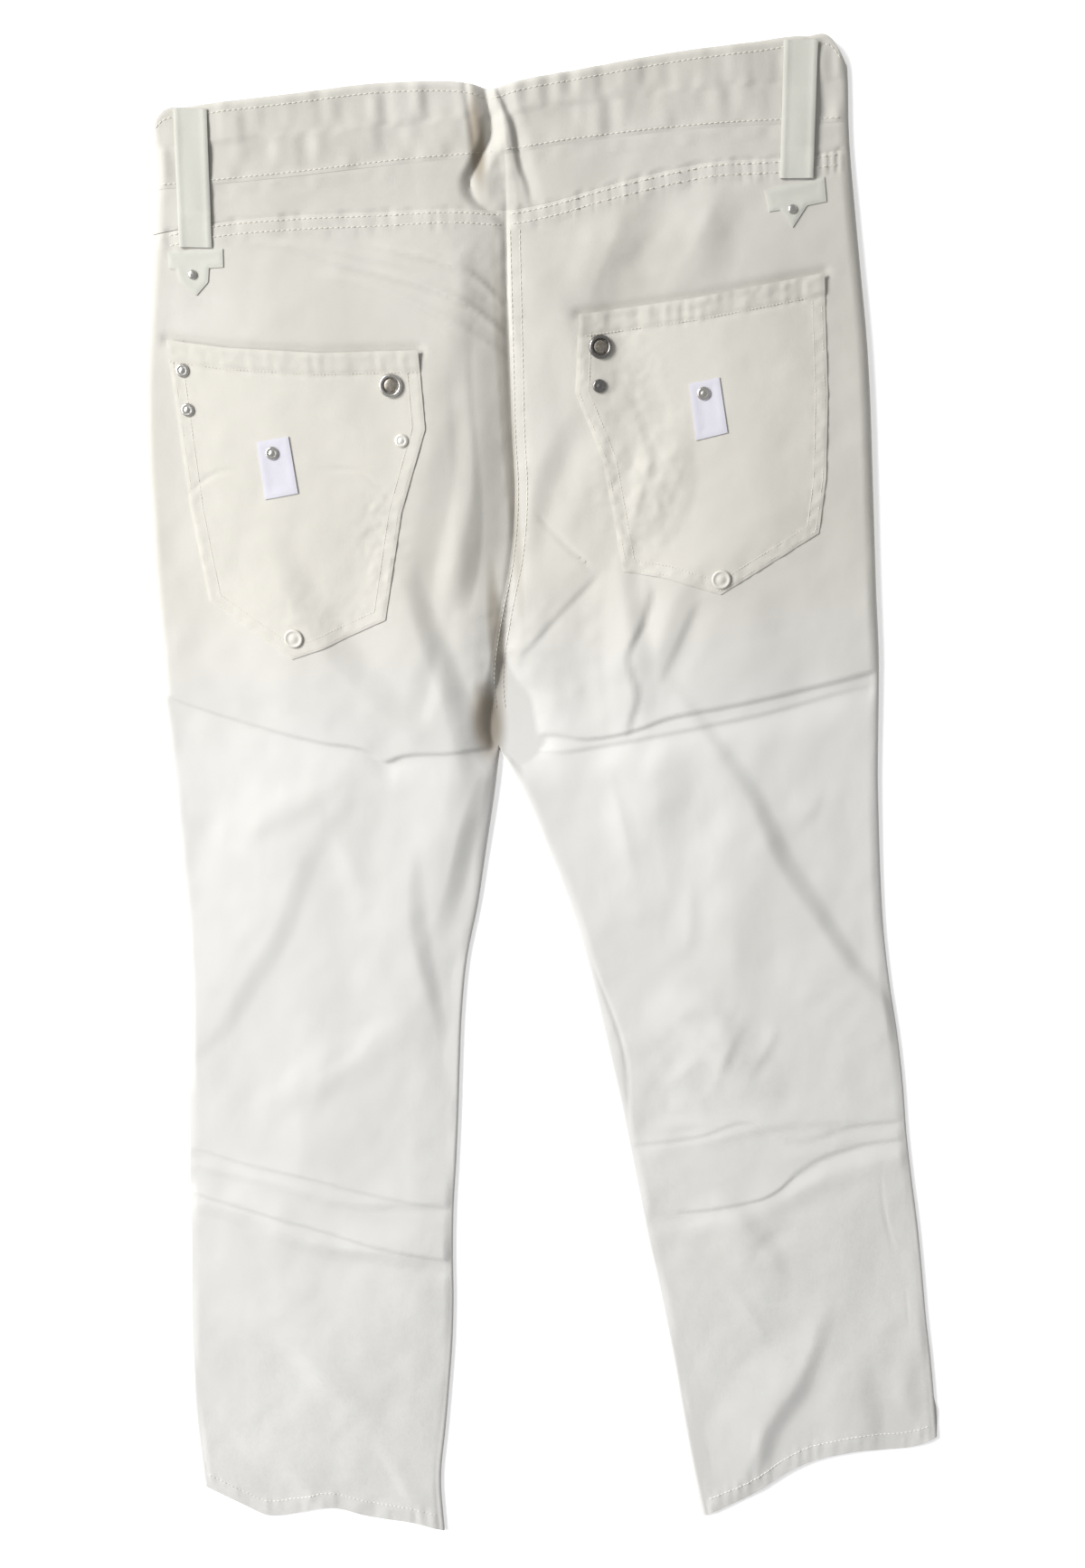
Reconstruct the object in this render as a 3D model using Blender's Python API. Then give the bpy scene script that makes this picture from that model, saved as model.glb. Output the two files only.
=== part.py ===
"""Straight-leg cotton jeans laid flat with their back side up.

Frame: +X to the wearer's right, +Y towards the waist, +Z up, origin on the floor at the middle
of the outline. Sizes are in millimetres, and MM turns them into metres as each mesh is made.

The lower layer is the flat front: two panels and two waistband ends. The upper layer is the back:
two panels, two yokes and a waistband, cut from one draped surface. Patch pockets, labels, belt
loops and tabs are made from that surface, moved out, and the metal trim stands on them.
"""

from typing import NamedTuple

import bmesh
import bpy
import numpy as np
from mathutils import Matrix, Vector
from mathutils.bvhtree import BVHTree

MM = 0.001

# Cloth and seams
FRONT_WALL = 1.4
BACK_WALL = 1.4
POCKET_WALL = 1.2
LABEL_WALL = 1.0
LOOP_WALL = 1.5
GAP = 0.3
EDGE_Z = FRONT_WALL + GAP

# Drape
SIDE_ROUND = 10.0
SIDE_SHARE = 0.34
SIDE_REACH = 60.0
INNER_REACH = 26.0
LEAST_TOP = EDGE_Z + BACK_WALL + 0.15
SLOPE_STEP = 0.4
LEG_EDGE_STEPS = 60
SIDE_EDGE_STEPS = 90

# Grid of the cloth
HALF_COLUMNS = 16
SEAT_ROWS = 15
YOKE_ROWS = 2
BAND_ROWS = 4
HEM_ROWS = 5
PATCH_MARGIN = 35.0


class Section(NamedTuple):
    """One cross-section of the outline: the four side edges at a height along the garment."""

    y: float
    left_out: float
    left_in: float
    right_in: float
    right_out: float


CROTCH_Y = 111.0
SECTIONS = (
    # On the seat both inner edges are the centre back seam.
    Section(536.0, -186.0, 24.0, 24.0, 229.0),
    Section(515.0, -187.0, 22.0, 22.0, 230.5),
    Section(480.0, -190.5, 23.0, 23.0, 231.0),
    Section(440.0, -199.5, 21.0, 21.0, 234.0),
    Section(400.0, -208.0, 19.0, 19.0, 237.5),
    Section(360.0, -216.0, 17.0, 17.0, 241.0),
    Section(320.0, -221.0, 15.0, 15.0, 243.0),
    Section(280.0, -224.0, 14.0, 14.0, 244.0),
    Section(240.0, -227.0, 8.0, 8.0, 245.0),
    Section(200.0, -229.5, -3.0, -3.0, 246.0),
    Section(160.0, -232.0, -11.0, -11.0, 247.5),
    Section(CROTCH_Y, -234.5, -9.0, -9.0, 247.0),
    Section(80.0, -236.0, -15.0, 4.0, 246.5),
    Section(40.0, -238.0, -24.0, 17.0, 247.0),
    Section(0.0, -241.0, -33.0, 29.0, 248.0),
    Section(-40.0, -244.5, -44.0, 38.5, 250.0),
    Section(-80.0, -249.5, -51.0, 45.5, 254.0),
    Section(-120.0, -254.5, -56.0, 51.5, 259.5),
    Section(-160.0, -259.5, -60.5, 57.5, 263.5),
    Section(-200.0, -265.0, -65.5, 62.5, 266.0),
    Section(-240.0, -269.5, -71.0, 67.5, 270.0),
    Section(-280.0, -274.5, -75.0, 72.5, 274.5),
    Section(-320.0, -280.0, -78.0, 78.5, 278.0),
    Section(-360.0, -284.0, -82.5, 83.5, 281.0),
    Section(-400.0, -288.0, -88.5, 88.0, 285.0),
    Section(-440.0, -289.5, -95.0, 92.0, 288.0),
    Section(-480.0, -290.5, -102.0, 96.5, 290.5),
    Section(-536.0, -290.5, -104.0, 104.0, 290.5),
)


class Point(NamedTuple):
    """One point of an edge that runs across the garment."""

    x: float
    y: float


WAIST_EDGE = (
    Point(-186.5, 517.0),
    Point(-181.0, 521.5),
    Point(-165.0, 523.0),
    Point(-106.0, 525.5),
    Point(-35.0, 527.5),
    Point(4.0, 524.0),
    Point(19.0, 520.0),
    Point(28.0, 522.0),
    Point(72.0, 527.0),
    Point(124.0, 532.0),
    Point(175.0, 534.5),
    Point(206.0, 535.5),
    Point(224.0, 531.0),
    Point(230.0, 519.0),
)
WAISTBAND_SEAM = (
    Point(-191.0, 478.0),
    Point(-107.0, 479.5),
    Point(-40.0, 482.0),
    Point(22.0, 483.0),
    Point(62.0, 486.0),
    Point(150.0, 489.0),
    Point(231.0, 487.0),
)
YOKE_SEAM = (
    Point(-199.0, 452.0),
    Point(-154.0, 457.0),
    Point(-108.0, 457.5),
    Point(-59.0, 456.0),
    Point(-8.0, 454.5),
    Point(21.0, 451.5),
    Point(47.0, 454.0),
    Point(78.0, 460.0),
    Point(107.0, 465.0),
    Point(149.0, 470.0),
    Point(187.0, 469.5),
    Point(233.0, 472.0),
)
HEM_LEFT = (
    Point(-290.5, -478.0),
    Point(-259.0, -500.0),
    Point(-246.0, -509.0),
    Point(-220.0, -509.0),
    Point(-195.0, -504.5),
    Point(-163.0, -516.0),
    Point(-124.0, -527.0),
    Point(-104.0, -535.5),
)
HEM_RIGHT = (
    Point(290.5, -472.0),
    Point(279.0, -477.0),
    Point(220.0, -481.0),
    Point(178.0, -493.0),
    Point(146.0, -515.0),
    Point(104.0, -535.5),
)
CENTRE_X = 21.0

# The flat front
FRONT_TOP_Y = 515.0
FRONT_LEFT_X = -187.0
FRONT_RIGHT_X = 229.5
FRONT_DIP = 18.0
FRONT_BAND = 42.0
FRONT_STEPS = 26
FRONT_SEAM_STEPS = 6
FRONT_BAND_STEPS = 9
FRONT_OUTER_YS = (-470.0, 465.0)
FRONT_INNER_FOOT_Y = -530.0
HEM_CORNER_OUT = 285.0
HEM_CORNER_IN = 110.0
FLY_REACH = 14.0
FLY_WALL = 1.0


class Station(NamedTuple):
    """A row of the cloth across one leg, from its outer seam to its inner one."""

    name: str
    y_out: float
    y_in: float
    rows_to_next: int


LEG_STATIONS = {
    "left": (
        Station("hem", -478.0, -535.5, 10),
        Station("shin", -232.0, -306.0, 1),
        Station("lower knee crease", -216.0, -290.0, 1),
        Station("between knee creases", -196.0, -267.0, 1),
        Station("upper knee crease", -180.0, -245.0, 1),
        Station("above knee", -160.0, -224.0, 12),
        Station("below thigh crease", 142.0, 88.0, 1),
        Station("thigh crease", 159.0, 103.0, 1),
        Station("crotch", 168.0, CROTCH_Y, 1),
    ),
    "right": (
        Station("hem", -472.0, -535.5, 10),
        Station("shin", -228.0, -280.0, 1),
        Station("lower knee crease", -211.0, -262.0, 1),
        Station("between knee creases", -199.0, -232.0, 1),
        Station("upper knee crease", -190.0, -203.0, 1),
        Station("above knee", -172.0, -186.0, 12),
        Station("below thigh crease", 120.0, 88.0, 1),
        Station("thigh crease", 136.0, 103.0, 1),
        Station("crotch", 146.0, CROTCH_Y, 1),
    ),
}


class Lift(NamedTuple):
    """How high the middle of the upper layer stands over its side edges."""

    y: float
    height: float


LIFTS = (
    Lift(-536.0, 2.4),
    Lift(-470.0, 3.6),
    Lift(-250.0, 4.6),
    Lift(0.0, 5.4),
    Lift(110.0, 8.0),
    Lift(250.0, 8.4),
    Lift(420.0, 7.6),
    Lift(480.0, 6.2),
    Lift(536.0, 5.6),
)


class Fold(NamedTuple):
    """A ridge, or a trough where height is negative, along an arc seen from above.

    The widths are those of its two slopes, left and right of the way from its start to its end.
    Its crest is round where soft is 1, and a sharp crease where it is 0.
    """

    name: str
    x0: float
    y0: float
    x1: float
    y1: float
    bow: float
    height: float
    left_width: float
    right_width: float
    soft: float


FOLDS = (
    Fold("left cheek", -80, 500, -110, 60, 0, 2.2, 120, 110, 1.0),
    Fold("right cheek", 140, 500, 130, 80, 0, 2.0, 90, 110, 1.0),
    Fold("left seat ridge", -10, 480, -34, 130, 7, 3.0, 26, 80, 0.9),
    Fold("left seat hollow", -22, 390, -46, 190, 6, -2.0, 14, 20, 0.8),
    Fold("right seat ridge", 62, 500, 30, 236, 6, 3.2, 30, 50, 0.9),
    Fold("left crotch swell", -60, 262, -34, 74, -8, 3.6, 26, 60, 0.9),
    Fold("right crotch swell", 30, 206, 30, 84, -6, 3.6, 34, 40, 0.9),
    Fold("right hip swell", 84, 262, 74, 84, 4, 4.6, 17, 56, 0.8),
    Fold("right branch", -2, 172, 76, 246, 4, 3.0, 36, 17, 0.7),
    Fold("right inner trough", 70, 344, 30, 220, -8, -1.8, 22, 18, 0.9),
    Fold("right hip band", 84, 118, 142, 244, 5, 3.0, 44, 16, 0.8),
    Fold("right pocket sweep", 88, 226, 124, 322, 4, 2.2, 30, 18, 0.8),
    Fold("right yoke sweep", 62, 384, 104, 474, 0, 1.6, 26, 40, 0.9),
    Fold("left pocket foot band", -150, 272, -50, 100, -16, 3.4, 24, 70, 0.8),
    Fold("left thigh lip", -300, 173, 60, 90, -24, 1.6, 8, 22, 0.6),
    Fold("left thigh groove", -300, 183, 60, 99, -24, -1.6, 6, 6, 0.6),
    Fold("right thigh lip", -60, 90, 320, 150, -5, 1.6, 8, 22, 0.6),
    Fold("right thigh groove", -60, 99, 320, 159, -5, -1.6, 6, 6, 0.6),
    Fold("left thigh sweep", -92, 128, -284, -138, 6, 2.2, 30, 84, 0.8),
    Fold("left inseam swell", -24, 118, -66, -24, 4, 3.4, 16, 60, 0.8),
    Fold("left inseam fold", -74, 50, -76, -120, -3, 2.6, 14, 60, 0.8),
    Fold("left mid ripple", -90, -78, -208, -140, 4, 1.0, 30, 20, 0.9),
    Fold("left upper knee", -330, -164, -10, -250, -8, 1.1, 26, 9, 0.7),
    Fold("left lower knee", -330, -196, -20, -298, -9, 2.6, 30, 16, 0.7),
    Fold("left shin sweep", -240, -310, -124, -448, 4, 2.4, 50, 24, 0.9),
    Fold("left hem fold", -244, -430, -186, -536, 0, 2.4, 36, 18, 0.8),
    Fold("right thigh sweep", 92, 166, 294, -160, -6, 4.2, 24, 90, 0.8),
    Fold("right thigh post", 78, 150, 100, -10, 5, 1.8, 24, 40, 0.8),
    Fold("right inner sweep", 158, 90, 128, -142, 5, 1.6, 34, 60, 0.8),
    Fold("right knee ripple", 90, -70, 176, -180, 4, 2.6, 22, 40, 0.9),
    Fold("right upper knee", 10, -208, 290, -186, 5, 0.8, 26, 9, 0.7),
    Fold("right lower knee", 10, -280, 340, -193, -11, 1.4, 24, 16, 0.7),
    Fold("right knee fork", 126, -234, 172, -326, 4, 2.2, 15, 36, 0.8),
    Fold("right shin ridge", 204, -330, 100, -536, 16, 3.8, 26, 44, 0.7),
    Fold("right hem fold", 222, -380, 244, -516, 0, 2.0, 22, 40, 1.0),
)
FOLD_END_WIDTH = 0.6
FOLD_END_FADE = 1.3


class Bed(NamedTuple):
    """The bottom of the centre back valley at a height along the garment, and its reach to each side."""

    y: float
    x: float
    depth: float
    left_reach: float
    right_reach: float


CENTRE_VALLEY = (
    Bed(84.0, 6.0, 0.0, 12.0, 10.0),
    Bed(100.0, 7.0, 2.5, 20.0, 12.0),
    Bed(120.0, 8.0, 5.0, 26.0, 20.0),
    Bed(150.0, 6.0, 5.6, 28.0, 30.0),
    Bed(190.0, 5.0, 4.4, 28.0, 44.0),
    Bed(240.0, 14.0, 3.8, 28.0, 52.0),
    Bed(300.0, 20.0, 3.8, 30.0, 56.0),
    Bed(394.0, 24.0, 3.8, 32.0, 56.0),
    Bed(430.0, 25.0, 3.4, 30.0, 44.0),
    Bed(455.0, 23.0, 2.0, 24.0, 30.0),
    Bed(480.0, 20.0, 1.4, 22.0, 18.0),
    Bed(560.0, 18.0, 1.4, 22.0, 18.0),
)


class Wander(NamedTuple):
    """A slow wave that keeps the folds from running along perfect arcs."""

    reach: float
    per_x: float
    per_y: float
    start: float


WANDER_X = (Wander(4.5, 0.004, 0.029, 1.3), Wander(2.2, 0.047, 0.041, 0.4))
WANDER_Y = (Wander(4.5, 0.026, 0.006, 0.7), Wander(2.2, 0.039, -0.049, 2.1))

# Patch pockets, labels, belt loops and tabs: outlines seen from above, counter-clockwise
POCKETS = {
    "left": (
        Point(-195.0, 391.0),
        Point(-194.0, 286.0),
        Point(-190.0, 226.0),
        Point(-140.0, 185.0),
        Point(-118.0, 191.0),
        Point(-76.0, 207.0),
        Point(-59.0, 275.0),
        Point(-39.0, 326.0),
        Point(-39.0, 374.0),
        Point(-100.0, 376.5),
        Point(-160.0, 384.0),
    ),
    "right": (
        Point(62.0, 388.0),
        Point(57.0, 341.0),
        Point(72.0, 298.0),
        Point(81.0, 227.0),
        Point(108.0, 221.0),
        Point(143.0, 208.0),
        Point(208.0, 243.0),
        Point(213.0, 278.0),
        Point(215.0, 330.0),
        Point(214.0, 402.0),
        Point(136.0, 393.0),
    ),
}
LABELS = {
    "left": (Point(-146.0, 325.5), Point(-145.0, 289.5), Point(-123.5, 292.0), Point(-125.5, 327.5)),
    "right": (Point(128.0, 342.0), Point(131.0, 307.0), Point(151.0, 310.5), Point(147.0, 344.5)),
}
TABS = {
    "left": (
        Point(-187.0, 443.0),
        Point(-188.0, 431.0),
        Point(-181.5, 430.5),
        Point(-173.5, 418.5),
        Point(-165.0, 429.5),
        Point(-154.0, 429.0),
        Point(-153.0, 441.5),
    ),
    "right": (
        Point(178.5, 452.0),
        Point(181.0, 439.5),
        Point(187.5, 440.0),
        Point(195.0, 429.5),
        Point(204.0, 441.5),
        Point(216.0, 443.0),
        Point(215.0, 457.0),
    ),
}


class Loop(NamedTuple):
    """A belt loop: the middle of its top and foot, and how far it stands off the waistband."""

    top_x: float
    top_y: float
    foot_x: float
    foot_y: float
    stand_off: float


LOOPS = {
    "left": Loop(-162.5, 521.5, -169.5, 443.6, 1.6),
    "right": Loop(202.5, 533.5, 198.0, 457.4, 1.6),
}
LOOP_WIDTH = 20.0
LOOP_ROWS = 9
LOOP_COLUMNS = 4
LOOP_CLEAR = 0.5
CUTTER_REACH = 60.0
LABEL_LIFT = GAP + POCKET_WALL + GAP
TRIM_ON_POCKET = GAP + POCKET_WALL + GAP
TRIM_ON_LABEL = LABEL_LIFT + LABEL_WALL + GAP
TRIM_ON_TAB = GAP + POCKET_WALL + GAP


class Trim(NamedTuple):
    """A stud or rivet: where it stands, what it is, and how far out of the panel its foot is."""

    name: str
    kind: str
    x: float
    y: float
    out: float


TRIMS = (
    Trim("ring_stud_left", "ring", -58.0, 354.0, TRIM_ON_POCKET),
    Trim("ring_cap_left", "cap", -58.0, 354.0, TRIM_ON_POCKET),
    Trim("pocket_rivet_left_a", "rivet", -187.5, 372.0, TRIM_ON_POCKET),
    Trim("pocket_rivet_left_b", "rivet", -187.5, 348.0, TRIM_ON_POCKET),
    Trim("pocket_rivet_left_c", "rivet", -54.5, 320.0, TRIM_ON_POCKET),
    Trim("label_rivet_left", "rivet", -137.0, 318.0, TRIM_ON_LABEL),
    Trim("point_stud_left", "point", -137.0, 199.0, TRIM_ON_POCKET),
    Trim("ring_stud_right", "ring", 74.0, 368.0, TRIM_ON_POCKET),
    Trim("ring_cap_right", "cap", 74.0, 368.0, TRIM_ON_POCKET),
    Trim("pocket_rivet_right", "rivet", 72.0, 344.5, TRIM_ON_POCKET),
    Trim("label_rivet_right", "rivet", 137.0, 335.5, TRIM_ON_LABEL),
    Trim("point_stud_right", "point", 143.5, 218.0, TRIM_ON_POCKET),
    Trim("tab_stud_left", "small", -173.5, 428.0, TRIM_ON_TAB),
    Trim("tab_stud_right", "small", 195.0, 440.0, TRIM_ON_TAB),
)
# Turned profiles, as radius and height from the axis out, by kind
PROFILES = {
    "ring": ((4.7, 0.0), (7.3, 0.0), (7.3, 0.9), (6.6, 1.9), (5.5, 1.9), (4.7, 1.0)),
    "cap": ((0.0, 0.0), (4.3, 0.0), (4.3, 0.7), (3.2, 1.3), (0.0, 1.5)),
    "rivet": ((0.0, 0.0), (4.2, 0.0), (4.2, 0.6), (3.3, 1.2), (1.6, 1.5), (0.0, 1.5)),
    "small": ((0.0, 0.0), (2.8, 0.0), (2.6, 0.8), (1.4, 1.3), (0.0, 1.4)),
    "point": ((0.0, 0.0), (6.2, 0.0), (5.9, 0.9), (4.4, 1.2), (2.0, 1.0), (0.0, 1.4)),
}
TRIM_SIDES = 20
SHARP_ANGLE = 0.6
FOOT_SPOTS = 16

BUTTON = Point(21.0, 480.0)
BUTTON_RADIUS = 8.5
BUTTON_THICK = 1.1
BUTTON_SIDES = 24
FLY = (Point(10.0, 300.0), Point(22.0, 296.0), Point(46.0, 312.0), Point(50.0, 455.0), Point(12.0, 455.0))


class Finish(NamedTuple):
    """The colour, roughness and metallic value of one material."""

    name: str
    color: tuple
    roughness: float
    metallic: float


CLOTH = Finish("off_white_twill", (0.80, 0.79, 0.76), 0.92, 0.0)
LABEL_CLOTH = Finish("label_cloth", (0.78, 0.77, 0.83), 0.85, 0.0)
METAL = Finish("nickel", (0.55, 0.54, 0.52), 0.32, 1.0)
DARK_METAL = Finish("dark_nickel", (0.20, 0.19, 0.18), 0.35, 1.0)
PAINT = Finish("white_enamel", (0.80, 0.79, 0.77), 0.45, 0.0)


# Curves and heights


def smooth_curve(knots, values, where):
    """A smooth curve through knots in rising order, read at where."""
    knots = np.asarray(knots, float)
    values = np.asarray(values, float)
    slopes = np.gradient(values, knots)
    at = np.clip(np.asarray(where, float), knots[0], knots[-1])
    index = np.clip(np.searchsorted(knots, at) - 1, 0, len(knots) - 2)
    span = knots[index + 1] - knots[index]
    t = (at - knots[index]) / span
    start = (1 + 2 * t) * (1 - t) ** 2 * values[index] + t * (1 - t) ** 2 * span * slopes[index]
    end = t * t * (3 - 2 * t) * values[index + 1] + t * t * (t - 1) * span * slopes[index + 1]
    return start + end


def section_edge(column, y):
    """X of one column of the section table at y. The inner edges turn a corner at the crotch."""
    if column.endswith("out"):
        rows = sorted(SECTIONS)
        return smooth_curve([row.y for row in rows], [getattr(row, column) for row in rows], y)
    legs = [row for row in sorted(SECTIONS) if row.y <= CROTCH_Y]
    seat = [row for row in sorted(SECTIONS) if row.y >= CROTCH_Y]
    on_leg = smooth_curve([row.y for row in legs], [getattr(row, column) for row in legs], y)
    on_seat = smooth_curve([row.y for row in seat], [getattr(row, column) for row in seat], y)
    return np.where(np.asarray(y) < CROTCH_Y, on_leg, on_seat)


def edge_curve(points, x):
    """Y of an edge that runs across the garment, at x."""
    rows = sorted(points)
    return smooth_curve([row.x for row in rows], [row.y for row in rows], x)


def side_edges():
    """The garment's side edges as chains of points: outer seams, and the inner ones round the crotch."""
    foot_y, top_y = SECTIONS[-1].y, SECTIONS[0].y
    leg_ys = np.linspace(foot_y, CROTCH_Y, LEG_EDGE_STEPS)
    all_ys = np.linspace(foot_y, top_y, SIDE_EDGE_STEPS)
    inner = np.concatenate(
        [
            np.column_stack([section_edge("left_in", leg_ys), leg_ys]),
            np.column_stack([section_edge("right_in", leg_ys), leg_ys])[-2::-1],
        ]
    )
    return [
        np.column_stack([section_edge("left_out", all_ys), all_ys]),
        inner,
        np.column_stack([section_edge("right_out", all_ys), all_ys]),
    ]


SIDE_EDGES = side_edges()


def chain_distance(x, y, chain):
    """Distance from each point to a chain of points."""
    points = np.stack([x, y], axis=-1)
    nearest = np.full(x.shape, np.inf)
    for a, b in zip(chain[:-1], chain[1:]):
        along = b - a
        t = np.clip(((points - a) @ along) / (along @ along), 0.0, 1.0)
        away = points - a - t[..., None] * along
        nearest = np.minimum(nearest, np.hypot(away[..., 0], away[..., 1]))
    return nearest


def rounded(distance, radius):
    """A quarter round: 0 at the edge, 1 from one radius in."""
    t = np.clip(distance / radius, 0.0, 1.0)
    return np.sqrt(1 - (1 - t) ** 2)


def eased(t):
    t = np.clip(t, 0.0, 1.0)
    return t * t * (3 - 2 * t)


def fold_height(fold, x, y):
    """The height that one fold adds at each point. It narrows and dies away towards its ends."""
    run_x, run_y = fold.x1 - fold.x0, fold.y1 - fold.y0
    length = np.hypot(run_x, run_y)
    along = ((x - fold.x0) * run_x + (y - fold.y0) * run_y) / length**2
    across = ((y - fold.y0) * run_x - (x - fold.x0) * run_y) / length
    across = across - 4 * fold.bow * along * (1 - along)
    swell = np.sin(np.pi * np.clip(along, 0.0, 1.0))
    width = np.where(across > 0, fold.left_width, fold.right_width)
    share = np.clip(np.abs(across) / (width * (FOLD_END_WIDTH + (1 - FOLD_END_WIDTH) * swell)), 0.0, 1.0)
    shape = (1 - share) ** 2 * (1 + 2 * fold.soft * share)
    return fold.height * shape * swell**FOLD_END_FADE


def valley_depth(x, y):
    """How far the centre back valley lowers each point."""
    rows = [bed.y for bed in CENTRE_VALLEY]
    bottom, depth, left_reach, right_reach = (
        smooth_curve(rows, column, y) for column in list(zip(*CENTRE_VALLEY))[1:]
    )
    away = x - bottom
    share = np.clip(np.where(away < 0, -away / left_reach, away / right_reach), 0.0, 1.0)
    return depth * (1 - eased(share))


def wandered(waves, x, y):
    """How far the folds are carried off their arcs at each point."""
    return sum(w.reach * np.sin(w.per_x * x + w.per_y * y + w.start) for w in waves)


def top_height(x, y):
    """Height of the upper layer's outer face over the floor."""
    x, y = np.asarray(x, float), np.asarray(y, float)
    left, inner, right = (chain_distance(x, y, chain) for chain in SIDE_EDGES)
    outer = np.minimum(left, right)
    distance = np.minimum(outer, inner)
    lift = smooth_curve([row.y for row in LIFTS], [row.height for row in LIFTS], y)
    fold_x, fold_y = x + wandered(WANDER_X, x, y), y + wandered(WANDER_Y, x, y)
    relief = sum(fold_height(fold, fold_x, fold_y) for fold in FOLDS)
    relief = relief - valley_depth(x, y)
    slow_rise = np.minimum(eased(outer / SIDE_REACH), eased(inner / INNER_REACH))
    rise = SIDE_SHARE * rounded(distance, SIDE_ROUND) + (1 - SIDE_SHARE) * slow_rise
    raised = lift * rise + relief * eased(distance / SIDE_ROUND)
    lowest = (LEAST_TOP - EDGE_Z) * rounded(distance, 2 * BACK_WALL)
    return EDGE_Z + np.maximum(raised, lowest)


def surface_points(x, y):
    return np.stack([x, y, top_height(x, y)], axis=-1)


def surface_normals(x, y):
    """Unit normals of the upper layer's outer face."""
    slope_x = (top_height(x + SLOPE_STEP, y) - top_height(x - SLOPE_STEP, y)) / (2 * SLOPE_STEP)
    slope_y = (top_height(x, y + SLOPE_STEP) - top_height(x, y - SLOPE_STEP)) / (2 * SLOPE_STEP)
    normals = np.stack([-slope_x, -slope_y, np.ones_like(slope_x)], axis=-1)
    return normals / np.linalg.norm(normals, axis=-1, keepdims=True)


# Grids of the upper layer


def cosine_steps(count):
    """Shares from 0 to 1, closer together at both ends."""
    return 0.5 - 0.5 * np.cos(np.pi * np.arange(count + 1) / count)


def leg_rows(side):
    """Where each row of a back panel starts and ends, from the hem up to the yoke seam."""
    stations = LEG_STATIONS[side]
    rows = []
    for here, after in zip(stations[:-1], stations[1:]):
        for step in np.arange(here.rows_to_next) / here.rows_to_next:
            rows.append(
                (
                    here.y_out + (after.y_out - here.y_out) * step,
                    here.y_in + (after.y_in - here.y_in) * step,
                )
            )
    crotch = stations[-1]
    outer_seam = section_edge(f"{side}_out", YOKE_SEAM[0].y)
    top_out = float(edge_curve(YOKE_SEAM, outer_seam)) - GAP / 2
    top_in = float(edge_curve(YOKE_SEAM, CENTRE_X)) - GAP / 2
    for step in np.arange(SEAT_ROWS + 1) / SEAT_ROWS:
        rows.append(
            (
                crotch.y_out + (top_out - crotch.y_out) * step,
                crotch.y_in + (top_in - crotch.y_in) * step,
            )
        )
    return np.array(rows)


def panel_grid(side):
    """X and Y of a back panel's grid points, a row across the leg at a time."""
    sign = -1 if side == "left" else 1
    rows = leg_rows(side)
    share = cosine_steps(HALF_COLUMNS)
    outer_x = section_edge(f"{side}_out", rows[:, 0])
    inner_x = section_edge(f"{side}_in", rows[:, 1]) + sign * GAP / 2
    x = outer_x[:, None] + (inner_x - outer_x)[:, None] * share
    y = rows[:, :1] + (rows[:, 1] - rows[:, 0])[:, None] * share
    hem = HEM_LEFT if side == "left" else HEM_RIGHT
    hem_bow = edge_curve(hem, x[0]) - y[0]
    seam_bow = edge_curve(YOKE_SEAM, x[-1]) - GAP / 2 - y[-1]
    crotch_row = len(rows) - 1 - SEAT_ROWS
    for index in range(len(rows)):
        hem_share = 1 - eased(index / HEM_ROWS)
        seam_share = eased((index - crotch_row) / SEAT_ROWS)
        y[index] += hem_bow * hem_share + seam_bow * seam_share
    return x, y


def band_grid(side, lower, upper, rows):
    """X and Y of the grid of one half of a band between two edges across the garment."""
    sign = -1 if side == "left" else 1
    share = cosine_steps(HALF_COLUMNS)
    middle_y = (lower[0].y + upper[0].y) / 2
    outer_x = section_edge(f"{side}_out", middle_y)
    inner_x = section_edge(f"{side}_in", middle_y) + sign * GAP / 2
    across = outer_x + (inner_x - outer_x) * share
    low = edge_curve(lower, across) + GAP / 2
    high = edge_curve(upper, across)
    y = low + (high - low) * (np.arange(rows + 1) / rows)[:, None]
    start = section_edge(f"{side}_out", y)
    end = section_edge(f"{side}_in", y) + sign * GAP / 2
    return start + (end - start) * share, y


# Meshes


def cut_normals(x, y, borders):
    """Normals along which the wall's inner face is set in. Each border column takes its own."""
    normals = surface_normals(x, y)
    for rows, column, direction in borders:
        normals[rows, column] = direction
    for row in (0, -1):
        normals[row, :, 1] = 0.0
    return normals / np.linalg.norm(normals, axis=-1, keepdims=True)


def grid_faces(rows, columns, first, up):
    """Triangles of a grid, all split along the same diagonal."""
    faces = []
    for r in range(rows - 1):
        for c in range(columns - 1):
            a = first + r * columns + c
            b, d, e = a + 1, a + columns, a + columns + 1
            for face in ((a, b, e), (a, e, d)):
                faces.append(face if up else face[::-1])
    return faces


def closed_shell(name, finish, top, bottom):
    """A closed wall between two grids of points that match."""
    rows, columns = top.shape[:2]
    count = rows * columns
    faces = grid_faces(rows, columns, 0, True) + grid_faces(rows, columns, count, False)
    border = list(range(columns))
    border += [r * columns + columns - 1 for r in range(1, rows)]
    border += [(rows - 1) * columns + c for c in range(columns - 2, -1, -1)]
    border += [r * columns for r in range(rows - 2, 0, -1)]
    for a, b in zip(border, border[1:] + border[:1]):
        faces += [(a, a + count, b + count), (a, b + count, b)]
    points = np.concatenate([top.reshape(-1, 3), bottom.reshape(-1, 3)])
    return mesh_object(name, finish, points, faces)


def material_of(finish):
    """The material of a finish, made once."""
    material = bpy.data.materials.get(finish.name)
    if material is None:
        material = bpy.data.materials.new(finish.name)
        material.use_nodes = True
        shader = material.node_tree.nodes["Principled BSDF"]
        shader.inputs["Base Color"].default_value = (*finish.color, 1.0)
        shader.inputs["Roughness"].default_value = finish.roughness
        shader.inputs["Metallic"].default_value = finish.metallic
    return material


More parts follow.
